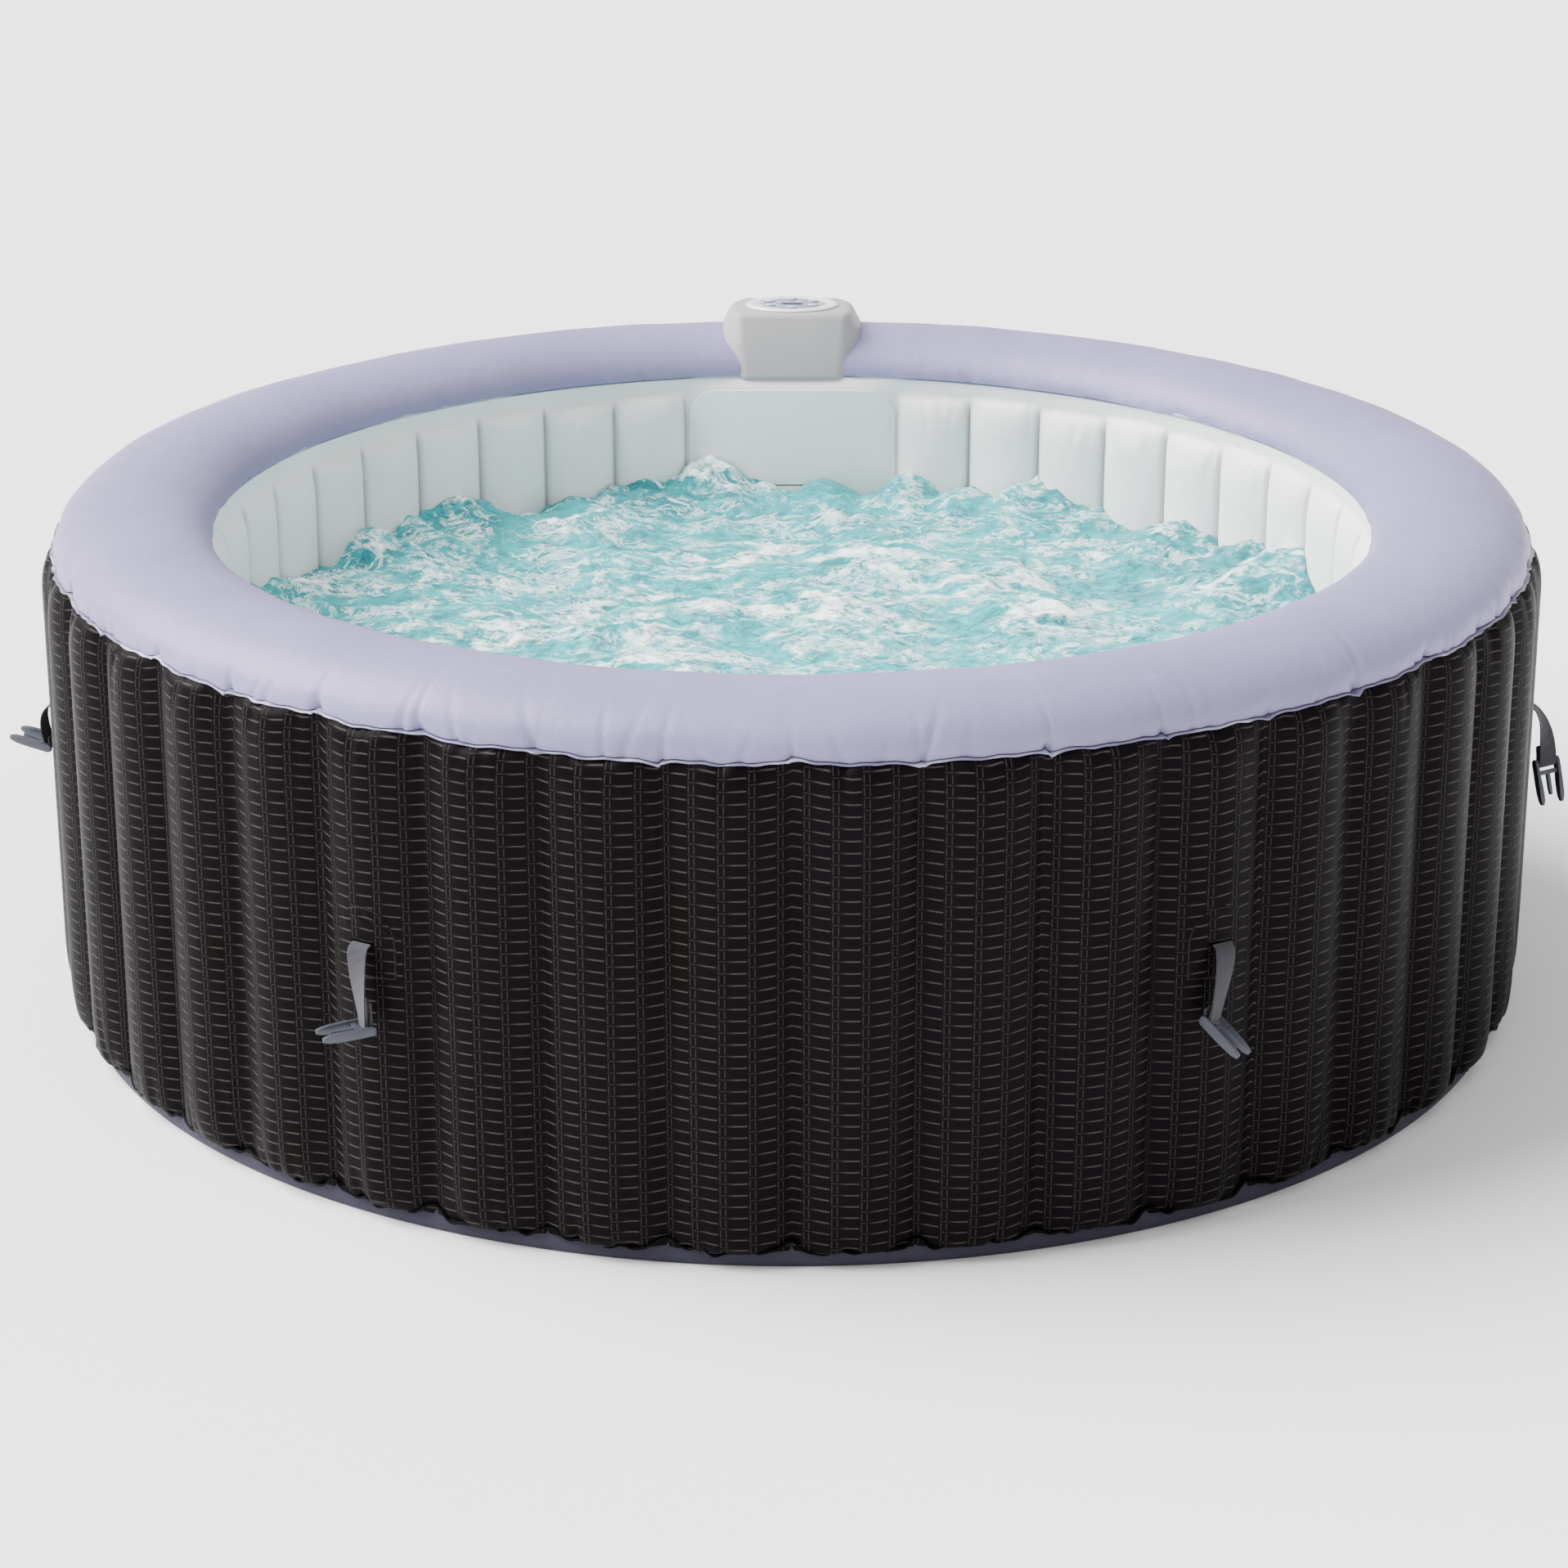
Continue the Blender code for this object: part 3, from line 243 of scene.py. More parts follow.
def welded_edge(azimuth):
    """How far the seam under the rim runs above or below its height: it kinks at each chamber's seam."""
    chambers = azimuth / outer_pitch
    seam = np.clip(np.rint(chambers), -CHAMBERS // 2, CHAMBERS // 2).astype(int)
    kink = np.exp(-np.abs((chambers - seam) / 0.13) ** 1.6) * seam_rise[seam + CHAMBERS // 2]
    ruffle = np.sin(23 * azimuth + 1) * np.sin(61 * azimuth)
    ruffle += 0.6 * np.sin(157 * azimuth + 2 * np.sin(9 * azimuth))
    across = 2 * (chambers % 1) - 1
    tilt = edge_tilt[np.clip(np.floor(chambers), -CHAMBERS // 2, CHAMBERS // 2).astype(int) + CHAMBERS // 2]
    rise = 0.0046 * kink - 0.0016 * (1 - across**2) + 0.0026 * tilt * across**3 + 0.0010 * ruffle
    return np.where(np.abs(chambers) > CHAMBERS / 2, 0.0, rise)


def rolled_sheet(name, columns, rows):
    """A flat grid to be rolled round the tub. Gives the object and its columns' and rows' shares, 0 to 1."""
    bpy.ops.mesh.primitive_grid_add(x_subdivisions=columns, y_subdivisions=rows, size=2)
    sheet = bpy.context.active_object
    sheet.name = name
    flat = np.empty(3 * len(sheet.data.vertices))
    sheet.data.vertices.foreach_get("co", flat)
    flat = flat.reshape(-1, 3)
    return sheet, (flat[:, 0] + 1) / 2, (flat[:, 1] + 1) / 2


def place_sheet(sheet, points, uv=None, merge=True):
    """Moves the grid's points to their places, keeps a print's UVs and closes the roll."""
    mesh = sheet.data
    if uv is not None:
        corners = np.empty(len(mesh.loops), int)
        mesh.loops.foreach_get("vertex_index", corners)
        layer = mesh.uv_layers[0]
        layer.name = "print"
        layer.data.foreach_set("uv", np.column_stack(uv)[corners].ravel())
    mesh.vertices.foreach_set("co", points.ravel())
    mesh.update()
    if merge:
        bpy.ops.object.mode_set(mode="EDIT")
        bpy.ops.mesh.select_all(action="SELECT")
        bpy.ops.mesh.remove_doubles(threshold=1e-5)
        bpy.ops.object.mode_set(mode="OBJECT")
    bpy.ops.object.shade_smooth()
    bpy.ops.object.select_all(action="DESELECT")


def chamber_columns(share, pitch, bay, bay_y, valley, cells):
    """For each column round the tub, which starts and ends at one edge of the bay: its point at the
    seams' radius, its outward direction, its place across its chamber from -1 to 1, and the chamber."""
    whole = CHAMBERS * cells
    bay_cells = round(bay / valley / pitch * cells)
    index = np.rint(share * (whole + bay_cells)).astype(int)
    chamber = np.minimum(index // cells, CHAMBERS)
    across = np.where(index >= whole, 0.0, 2 * (index % cells) / cells - 1)
    azimuth = np.where(index >= whole, pi, (index / cells - CHAMBERS / 2) * pitch)
    out = np.column_stack([np.sin(azimuth), -np.cos(azimuth), 0 * azimuth])
    x = bay * (0.5 - (index - whole) / bay_cells)
    flat = np.column_stack([x, bay_y + 0 * x, 0 * x])
    in_bay = index >= whole
    points = np.where(in_bay[:, None], flat, out * valley)
    return points, out, across, chamber, in_bay, azimuth


def rough_noise(count, seed, octaves):
    """A smooth random wave over one turn: columns' values for a share 0 to 1."""
    draw = np.random.default_rng(seed)
    share = np.arange(count) / count
    wave = np.zeros(count)
    for turns, size in octaves:
        for k in range(3):
            n = turns + k * max(1, turns // 7)
            wave += size / 3 * np.sin(2 * pi * (n * share + draw.random()))
    return wave


wall_cells, wall_rows = 26, 66
bay_cells = round(outer_bay / outer_valley / outer_pitch * wall_cells)
wall_columns = CHAMBERS * wall_cells + bay_cells
outer, share, level = rolled_sheet("outer_wall_print", wall_columns, wall_rows)
points, out, across, chamber, in_bay, azimuth = chamber_columns(
    share, outer_pitch, outer_bay, outer_bay_y, outer_valley, wall_cells)
level = 0.5 - 0.5 * np.cos(pi * (0.15 + 0.70 * level))
level = (level - level.min()) / (level.max() - level.min())
height = wall_bottom + (wall_top - wall_bottom) * level
to_top, to_bottom = wall_top - height, height - wall_bottom
round_top = np.sqrt(1 - np.clip(1 - to_top / top_round, 0, 1) ** 2)
round_bottom = np.sqrt(1 - np.clip(1 - to_bottom / foot_round, 0, 1) ** 2)
swell = outer_bulge * (1 - across**2) * (0.45 + 0.55 * round_top) * (0.62 + 0.38 * round_bottom)
draw = np.random.default_rng(7)
draw.random(CHAMBERS + 2)  # leaves out the first numbers, so that the creases stay where they are
crease_top = np.zeros(len(height))
crease_bottom = np.zeros(len(height))
for k in range(4):
    shift = draw.uniform(-0.95, 0.95, CHAMBERS + 2)[chamber]
    narrow = draw.uniform(0.05, 0.12, CHAMBERS + 2)[chamber]
    long_top = draw.uniform(0.012, 0.040, CHAMBERS + 2)[chamber]
    long_bottom = draw.uniform(0.015, 0.060, CHAMBERS + 2)[chamber]
    slope = draw.uniform(-3, 3, CHAMBERS + 2)[chamber]
    crease_top += np.exp(-(((across - shift - slope * to_top) / narrow) ** 2)) * np.exp(-to_top / long_top)
    shift = draw.uniform(-0.95, 0.95, CHAMBERS + 2)[chamber]
    foot_line = np.exp(-(((across - shift - slope * to_bottom) / narrow) ** 2))
    crease_bottom += foot_line * np.exp(-to_bottom / long_bottom)
swell -= crease_depth_top * crease_top + crease_depth_foot * crease_bottom
points = points + out * (np.where(in_bay, 0.0, swell))[:, None]
points[:, 2] = height + welded_edge(azimuth) * np.exp(-to_top / top_round)

one_chamber = np.linspace(-1, 1, wall_cells + 1)
bow = outer_bulge * (1 - one_chamber**2)
steps = np.hypot(np.diff(one_chamber) * outer_valley * sin(outer_pitch / 2), np.diff(bow))
run = np.concatenate([[0], np.cumsum(steps)])
sheet_run = np.zeros(wall_columns + 1)
for c in range(CHAMBERS):
    sheet_run[c * wall_cells:(c + 1) * wall_cells + 1] = (c + run / run[-1]) * columns_per_chamber
sheet_run[CHAMBERS * wall_cells:] = np.linspace(CHAMBERS * columns_per_chamber, strand_columns, bay_cells + 1)
index = np.rint(share * wall_columns).astype(int)
place_sheet(outer, points, uv=(sheet_run[index], height / strand_spacing))


def woven_vinyl(name, with_painted_light=False):
    """The printed wicker: short strands across each column and twin lines between columns. A piece with
    painted light has an attribute that is 1 along its welded edge, where the colour is painted lighter as a
    highlight on the weld's lip, and -1 in its slot, where the colour is painted near black as the slot's
    shade."""
    woven, place, inputs = finish(name, specular_ior_level=0.03)
    print_place = place.node("UVMap", uv_map="print")
    column_run = print_place.node("SeparateXYZ", print_place, output=0)
    row_run = print_place.node("SeparateXYZ", print_place, output=1)

    def strand_height(column_number, slant):
        """How far from the middle of the nearest strand of that column, in row periods."""
        row = row_run + (column_number % 2.0) * 0.5 - slant
        return abs(row % 1.0 - 0.5)

    column = column_run.floor()
    inside = column_run - column
    fourth = column % 4.0
    wear = print_place.stretched(1.0, 0.6, 1.0).cells(0.9, 2.0)
    strand = strand_height(column, (inside - 0.5) * (fourth * 0.08 - 0.09))
    strand = (1.0 - strand.rise(0.035, 0.095)) * inside.rise(0.04, 0.50) * (1.0 - inside.rise(0.78, 0.86))
    right_column = (column_run + 0.5).floor()
    from_edge = abs(column_run - right_column)
    right_strand = strand_height(right_column, 0.0)
    line = (1.0 - abs(from_edge - 0.092).rise(0.012, 0.034)) * right_strand.rise(0.12, 0.22)
    tail = (1.0 - right_strand.rise(0.03, 0.09)) * (1.0 - from_edge.rise(0.10, 0.16)) * 0.35
    light_print = (strand * (0.60 + wear * 0.8)).larger(line * 0.50).larger(tail)
    dark = fourth.rise(0.5, 3.0).blend((0.0031, 0.0022, 0.0027), (0.0025, 0.0014, 0.0011))
    dark = place.cells(3.0, 3.0).rise(0.25, 0.75).blend(dark, (0.0036, 0.0026, 0.0038))
    hair = print_place.stretched(0.4, 24.0, 1.0).cells(1.0, 3.0, 0.7).rise(0.45, 0.8) * 0.35
    colour = light_print.blend(hair.blend(dark, (0.0078, 0.0060, 0.0065)), (0.040, 0.034, 0.033))
    if with_painted_light:
        # Painted light: a lighter line along the welded edge stands in for a highlight on its lip, and the
        # slot is painted near black as shade.
        mark = place.node("Attribute", attribute_name="mark", output=2)
        colour = mark.rise(0.2, 0.9).blend(colour, (0.020, 0.016, 0.016))
        colour = (mark * -1.0).rise(0.3, 0.7).blend(colour, (0.001, 0.001, 0.001))
    grain = place.cells(240.0, 2.0) * 0.3 + place.cells(26.0, 3.0) * 0.8
    feed(inputs,
         base_color=colour,
         roughness=0.38 + place.cells(60.0, 3.0) * 0.14,
         normal=(light_print * 0.25 + grain).bump(0.0009))
    return woven


woven = woven_vinyl("vinyl_woven_print")
outer.data.materials.append(woven)
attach(outer, "tub")
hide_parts("outer_wall")


# --- Rim ----------------------------------------------------------------------------------------
# A soft inflated ring of lavender vinyl that lies over both walls. Where it is welded to the outer
# wall its edge dips at each seam, and short creases run up from there.

rim_sweep = radians(177)
rim_columns, rim_rows = 1640, 44
seam_pull = 0.0050
fold_kinds = 64


def round_the_tub(share, columns):
    """For each point of a closed sheet round the tub: its azimuth, its column, its place across its
    chamber from -1 to 1, and 1 over the chambers or 0 over the bay."""
    azimuth = (share - 0.5) * 2 * pi
    chambers = np.abs(azimuth) / outer_pitch
    over_chambers = np.where(chambers > CHAMBERS / 2, 0.0, 1.0)
    return azimuth, np.rint(share * columns).astype(int) % columns, 2 * (chambers % 1) - 1, over_chambers


rim, share, level = rolled_sheet("rim_skin", rim_columns, rim_rows)
azimuth, index, across, over_chambers = round_the_tub(share, rim_columns)
turn = rim_sweep * level
pillow = (1 - across**2) * over_chambers
number = (np.sign(azimuth) * np.floor(np.abs(azimuth) / outer_pitch)).astype(int) % fold_kinds
near_seam = np.exp(-((turn / 0.30) ** 2))
arc = turn * rim_half_width
draw = np.random.default_rng(21)
crease = np.zeros(len(arc))
for at_seam in (True, False, False):
    reach = draw.uniform(0.018, 0.055, fold_kinds)[number]
    width = draw.uniform(0.05, 0.11, fold_kinds)[number]
    shift = (0 if at_seam else 1) * draw.uniform(-0.7, 0.7, fold_kinds)[number]
    slope = draw.uniform(-5, 5, fold_kinds)[number]
    at = across - shift - slope * arc
    if at_seam:
        at = 1 - np.abs(at)
    depth = draw.uniform(0.1, 1.5, fold_kinds)[number]
    crease += np.exp(-((at / width) ** 2)) * np.exp(-arc / reach) * depth * (1.0 if at_seam else 0.45)
slow = rough_noise(rim_columns, 5, ((7, 1.0), (19, 0.7), (43, 0.4)))[index]
inner_arc = (rim_sweep - turn) * rim_half_width
inner_wave = rough_noise(rim_columns, 9, ((23, 1.0), (61, 0.8), (127, 0.5)))[index]
out_shift = -seam_pull * (1 - pillow) * near_seam - 0.0048 * crease * over_chambers
edge_lift = welded_edge(azimuth) * near_seam
puff = 0.0012 * slow * np.sin(turn) + 0.0010 * inner_wave * np.exp(-inner_arc / 0.02)
radius = rim_radius + (rim_half_width + puff) * np.cos(turn) + out_shift * np.cos(turn * 0.5)
height = rim_height + (rim_half_height + puff) * np.sin(turn) + edge_lift - 0.0022 * crease * np.sin(turn)
place_sheet(rim, np.column_stack([radius * np.sin(azimuth), -radius * np.cos(azimuth), height]))

lavender, place, inputs = finish("vinyl_lavender_soft", specular_ior_level=0.35)
clouds = place.cells(2.2, 4.0, 0.55).rise(0.3, 0.7)
scuffs = place.stretched(1.0, 1.0, 3.0).cells(34.0, 4.0, 0.6).rise(0.55, 0.75)
tone = clouds.blend((0.205, 0.184, 0.325), (0.240, 0.217, 0.375))
feed(inputs,
     base_color=(scuffs * 0.25).blend(tone, (0.290, 0.268, 0.430)),
     roughness=0.36 + place.cells(18.0, 4.0) * 0.16,
     normal=(place.cells(500.0, 2.0) * 0.25 + place.cells(22.0, 4.0, 0.6) * 1.2
             + place.cells(7.0, 2.0) * 2.0).bump(0.0012))
rim.data.materials.append(lavender)
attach(rim, "tub")
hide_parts("rim_cover")


# --- Rim flange ---------------------------------------------------------------------------------
# The narrow welded edge where rim and wall meet. It stands out a few millimetres, follows the dips
# at the seams and flares there.

flange_width = 0.0115
flange_thickness = 0.0012


def thicken(sheet, thickness):
    """Gives a sheet its thickness, half to each side."""
    bpy.context.view_layer.objects.active = sheet
    sheet.select_set(True)
    solidify = sheet.modifiers.new("thickness", "SOLIDIFY")
    solidify.thickness = thickness
    solidify.offset = 0
    bpy.ops.object.modifier_apply(modifier=solidify.name)
    bpy.ops.object.select_all(action="DESELECT")


flange, share, level = rolled_sheet("rim_flange", rim_columns, 3)
azimuth, index, across, over_chambers = round_the_tub(share, rim_columns)
pillow = (1 - across**2) * over_chambers
ruffle = rough_noise(rim_columns, 31, ((90, 1.0), (210, 0.8)))[index]
dip = np.exp(-(((1 - np.abs(across)) / 0.10) ** 2)) * over_chambers
radius = seam_radius - 0.008 - seam_pull * (1 - pillow)
radius += level * (flange_width + 0.0030 * dip + 0.0012 * ruffle)
height = rim_height - 0.0012 + welded_edge(azimuth) - level * (0.0008 + 0.0012 * dip)
place_sheet(flange, np.column_stack([radius * np.sin(azimuth), -radius * np.cos(azimuth), height]))
thicken(flange, flange_thickness)
glinting_edge_vinyl, place, inputs = finish("vinyl_welded_edge_glints", specular_ior_level=0.6)
# Painted glints: the dark lavender edge turns much lighter in scattered patches, standing in for highlights.
feed(inputs,
     base_color=place.cells(9.0, 3.0).rise(0.48, 0.62).blend((0.13, 0.12, 0.21), (0.42, 0.40, 0.54)),
     roughness=0.26 + place.cells(90.0, 2.0) * 0.15,
     normal=place.cells(160.0, 3.0).bump(0.0008))
flange.data.materials.append(glinting_edge_vinyl)
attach(flange, "tub")
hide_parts("rim_welt")


# --- Liner --------------------------------------------------------------------------------------
# White vinyl, welded to the webs like the outer wall. Its bulges end in round tops a little below
# the rim, and it runs flat over the bay at the back.

inner_edge_radius = seam_radius - 2 * rim_half_width
liner_valley = inner_edge_radius + 0.003
liner_bulge = 0.020
liner_bay = 0.302
liner_bay_y = sqrt(liner_valley**2 - (liner_bay / 2) ** 2)
liner_pitch = 2 * (pi - asin(liner_bay / 2 / liner_valley)) / CHAMBERS
liner_bottom, liner_top = 0.0024, 0.5858
top_lean = 0.022


def liner_swell(across):
    """How far a chamber of the liner stands in, across its width: full, with steep flanks."""
    return liner_bulge * np.clip(1 - across**2, 0, 1) ** 0.58



liner_cells, liner_rows = 26, 70
liner_bay_cells = round(liner_bay / liner_valley / liner_pitch * liner_cells)
liner_columns = CHAMBERS * liner_cells + liner_bay_cells
liner, share, level = rolled_sheet("liner_skin", liner_columns, liner_rows)
share = 1 - share
level = 1 - (1 - level) ** 1.5
points, out, across, chamber, in_bay, azimuth = chamber_columns(
    share, liner_pitch, liner_bay, liner_bay_y, liner_valley, liner_cells)
height = liner_bottom + (liner_top - liner_bottom) * level
to_top, to_bottom = liner_top - height, height - liner_bottom
draw = np.random.default_rng(12)
top_start = 0.020 + draw.uniform(0, 0.006, CHAMBERS + 2)[chamber]
depth = np.clip((to_top - top_start) / 0.045, 0, 1)
round_top = np.sqrt(1 - (1 - depth) ** 2)
round_bottom = np.sqrt(1 - np.clip(1 - to_bottom / 0.06, 0, 1) ** 2)
flat_share = np.where(in_bay, 0.0, 1.0)
swell = liner_swell(across) * round_top * (0.3 + 0.7 * round_bottom)
crease = np.zeros(len(height))
for k in range(3):
    shift = draw.uniform(-0.9, 0.9, CHAMBERS + 2)[chamber]
    narrow = draw.uniform(0.06, 0.14, CHAMBERS + 2)[chamber]
    slope = draw.uniform(-4, 4, CHAMBERS + 2)[chamber]
    middle = draw.uniform(0.030, 0.060, CHAMBERS + 2)[chamber]
    line = np.exp(-(((across - shift - slope * to_top) / narrow) ** 2))
    crease += line * np.exp(-(((to_top - middle) / top_lean) ** 2))
weld = np.exp(-(((1 - np.abs(across)) / 0.045) ** 2)) * depth
swell += flat_share * (0.0018 * weld - 0.0016 * crease)
points = points - out * (flat_share * swell)[:, None]
points[:, 2] = height
arc_y = np.sqrt(np.maximum(liner_valley**2 - points[:, 0] ** 2, 0))
points[:, 1] += in_bay * (arc_y - points[:, 1]) * np.clip(1 - to_top / top_lean, 0, 1) ** 2
# Painted shade: an attribute that is 1 along each welded seam of the liner where the chamber is full, so that
# the colour darkens there as if shade gathered in the crease.
seams = liner.data.attributes.new("seams", "FLOAT", "POINT")
shaded_seam_line = np.exp(-(((1 - np.abs(across)) / 0.07) ** 2)) * np.clip(depth * 3, 0, 1)
seams.data.foreach_set("value", flat_share * shaded_seam_line)
place_sheet(liner, points)

white_vinyl, place, inputs = finish("vinyl_white_liner", specular_ior_level=0.35)
stain = place.cells(5.0, 4.0).rise(0.3, 0.7)
painted_seam_shade = place.node("Attribute", attribute_name="seams", output=2)
# The white liner turns grey along its welded seams: painted shade.
feed(inputs,
     base_color=painted_seam_shade.blend(stain.blend((0.82, 0.79, 0.775), (0.88, 0.855, 0.845)), (0.36, 0.34, 0.33)),
     roughness=0.34 + place.cells(30.0, 3.0) * 0.14,
     normal=(place.cells(420.0, 2.0) * 0.25 + place.cells(30.0, 4.0, 0.6) * 1.3).bump(0.0010))
liner.data.materials.append(white_vinyl)
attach(liner, "tub")
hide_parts("liner_wall")


# --- Inner bead ---------------------------------------------------------------------------------
# The welded bead between rim and liner: a soft round cord of vinyl, tucked under the rim.

bead_thickness = 0.0072
bpy.ops.mesh.primitive_torus_add(
    major_segments=256, minor_segments=12, major_radius=inner_edge_radius + 0.0045,
    minor_radius=bead_thickness / 2, location=(0, 0, liner_top + 0.0030),
)
bead = bpy.context.active_object
bead.name = "inner_bead"
bpy.ops.object.transform_apply(location=True, rotation=True, scale=True)
bpy.ops.object.shade_smooth()
# The bead takes the welded edge's vinyl, with its painted glints.
bead.data.materials.append(glinting_edge_vinyl)
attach(bead, "tub")
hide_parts("inner_welt")
bpy.ops.object.select_all(action="DESELECT")


# --- Liner panel --------------------------------------------------------------------------------
# A flat moulded panel in the liner's bay with round corners, a raised edge and the highest water line.

line_height = 0.4310
line_length = 0.094


def softened(node, name, width=0.0008, segments=2, angle=30, smooth=50):
    """A copy of a CAD piece with its sharp edges rounded, in the CAD piece's place."""
    source = frame["nodes"][node]
    mesh = source.data.copy()
    copy = bpy.data.objects.new(name, mesh)
    bpy.context.scene.collection.objects.link(copy)
    bpy.context.view_layer.objects.active = copy
    copy.select_set(True)
    bpy.ops.object.mode_set(mode="EDIT")
    bpy.ops.mesh.select_all(action="SELECT")
    bpy.ops.mesh.remove_doubles(threshold=1e-6)
    bpy.ops.mesh.dissolve_limited(angle_limit=radians(0.5))
    bpy.ops.object.mode_set(mode="OBJECT")
    if width:
        bevel = copy.modifiers.new("rounding", "BEVEL")
        bevel.width = width
        bevel.segments = segments
        bevel.limit_method = "ANGLE"
        bevel.angle_limit = radians(angle)
        bpy.ops.object.modifier_apply(modifier=bevel.name)
    bpy.ops.object.shade_smooth_by_angle(angle=radians(smooth))
    copy.data.materials.clear()
    bpy.ops.object.select_all(action="DESELECT")
    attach(copy, body_of(source)[0])
    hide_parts(node)
    return copy


panel = softened("liner_panel", "liner_panel_moulded", 0.0012, 2)
panel_white, place, inputs = finish("plastic_panel_white", specular_ior_level=0.5)
from_middle = place.node("SeparateXYZ", place, output=0)
rise = place.node("SeparateXYZ", place, output=2)
line = 1.0 - abs(rise - line_height).rise(0.0006, 0.0012)
line = line * (1.0 - abs(from_middle + 0.012).rise(line_length / 2 - 0.0005, line_length / 2 + 0.0005))
white = place.cells(8.0, 3.0).blend((0.77, 0.78, 0.78), (0.83, 0.84, 0.84))
feed(inputs,
     base_color=line.blend(white, (0.02, 0.02, 0.02)),
     roughness=0.32 + place.cells(80.0, 2.0) * 0.12,
     normal=place.cells(300.0, 2.0).bump(0.0003))
panel.data.materials.append(panel_white)


# --- Water --------------------------------------------------------------------------------------
# Aerated water up to the line, thrown up by the bubble ring: waves stand at the walls and foam
# churns in the middle. It follows the liner's bulges with a small clearance.

water_level = 0.424
water_depth = 0.08
wave_size = 0.0058
swash_height = 0.060
water_cells = 280
water, share, level = rolled_sheet("bath_water", water_cells, water_cells)
square_x, square_y = 2 * share - 1, 2 * level - 1
disc_x = square_x * np.sqrt(1 - square_y**2 / 2)
disc_y = square_y * np.sqrt(1 - square_x**2 / 2)
reach = np.hypot(disc_x, disc_y)
azimuth = np.arctan2(disc_x, -disc_y)
chamber_share = np.abs(azimuth) / liner_pitch
across = 2 * (chamber_share % 1) - 1
edge = liner_valley - liner_swell(across) - 0.0015
bay_edge = (liner_bay_y - 0.006) / np.maximum(np.cos(pi - np.abs(azimuth)), 0.5)
edge = np.where(chamber_share > CHAMBERS / 2, np.minimum(bay_edge, liner_valley - 0.002), edge)
edge = np.minimum(edge, bay_edge + (np.abs(azimuth) < 2.9) * 1.0)
to_edge = reach**6
radius = reach * ((liner_valley - liner_bulge - 0.002) * (1 - to_edge) + edge * to_edge)
x, y = radius * np.sin(azimuth), -radius * np.cos(azimuth)
wave = np.array([
    0.55 * noise.hetero_terrain(Vector((a * 7, b * 9, 0.3)), 0.9, 2.1, 6, 0.6)
    + 0.35 * abs(noise.noise(Vector((a * 22, b * 26, 4.1))))
    + 0.16 * abs(noise.noise(Vector((a * 60, b * 66, 9.7))))
    for a, b in zip(x, y)])
wave = (wave - wave.mean()) / wave.std()
swash = np.array([abs(noise.noise(Vector((1.9 * sin(p) * 3.2, 1.9 * cos(p) * 3.2, 7.7)))) for p in azimuth])
bank = np.clip((reach - 0.72) / 0.24, 0, 1)
height = water_level + wave_size * wave * (1 + 0.5 * bank) + bank**2 * (swash_height * swash + 0.004)
place_sheet(water, np.column_stack([x, y, height]), merge=False)
bpy.context.view_layer.objects.active = water
water.select_set(True)
bpy.ops.object.mode_set(mode="EDIT")
bpy.ops.mesh.select_all(action="DESELECT")
bpy.ops.mesh.select_non_manifold()
bpy.ops.mesh.extrude_region_move(TRANSFORM_OT_translate={"value": (0, 0, -water_depth)})
bpy.ops.mesh.edge_face_add()
bpy.ops.mesh.select_all(action="SELECT")
bpy.ops.mesh.normals_make_consistent(inside=False)
bpy.ops.object.mode_set(mode="OBJECT")
bpy.ops.object.select_all(action="DESELECT")

# Emission makes this water glow: painted light, not a lamp.
turquoise, place, inputs = finish("water_aerated_glowing", ior=1.33, specular_ior_level=0.5, emission_strength=0.7)
lift = (place.node("SeparateXYZ", place, output=2) - water_level) * 22.0
flow = place.stretched(1.0, 1.35, 1.0)
streaks = flow.cells(9.0, 7.0, 0.66, 1.6)
fine = flow.cells(34.0, 7.0, 0.72, 1.1)
from_axis = place.node("VectorMath", place.stretched(1.0, 1.0, 0.0), operation="LENGTH", output=1)
middle = 1.0 - from_axis.rise(0.35, 0.70)
net = (1.0 - abs(flow.cells(15.0, 7.0, 0.68, 2.4) * 2.0 - 1.0)).rise(0.88, 1.0) * streaks.rise(0.42, 0.56)
foam = (streaks * 1.0 + fine * 0.75 + lift * 0.16 + middle * 0.12).rise(0.98, 1.20).larger(net * 0.6)
deep = flow.cells(5.0, 4.0, 0.6, 0.8).rise(0.30, 0.70).blend((0.003, 0.110, 0.130), (0.012, 0.250, 0.275))
milky = (fine.rise(0.36, 0.62) * (0.45 + middle * 0.45)).blend(deep, (0.045, 0.440, 0.460))
froth_and_glow = foam.blend(milky, (0.94, 0.98, 0.98))
# The water's own colour also feeds its glow, so water and foam glow: painted light that brightens them as if
# lit from within, in place of the light that aerated water scatters.
feed(inputs,
     base_color=froth_and_glow,
     emission_color=froth_and_glow,
     roughness=0.10 + foam * 0.45,
     normal=(fine * 1.1 + streaks * 1.4).bump(0.009, 0.7))
water.data.materials.append(turquoise)
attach(water, "tub")


# --- Ground sheet -------------------------------------------------------------------------------
# The lavender sheet under the tub turns up the wall a little way and shows below the bottom seam.

ground_columns, ground_rows = 1200, 14
ground_radius = seam_radius - 0.004
ground_rest = 0.0006
turn_up, turn_up_at_seams = 0.0200, 0.0075

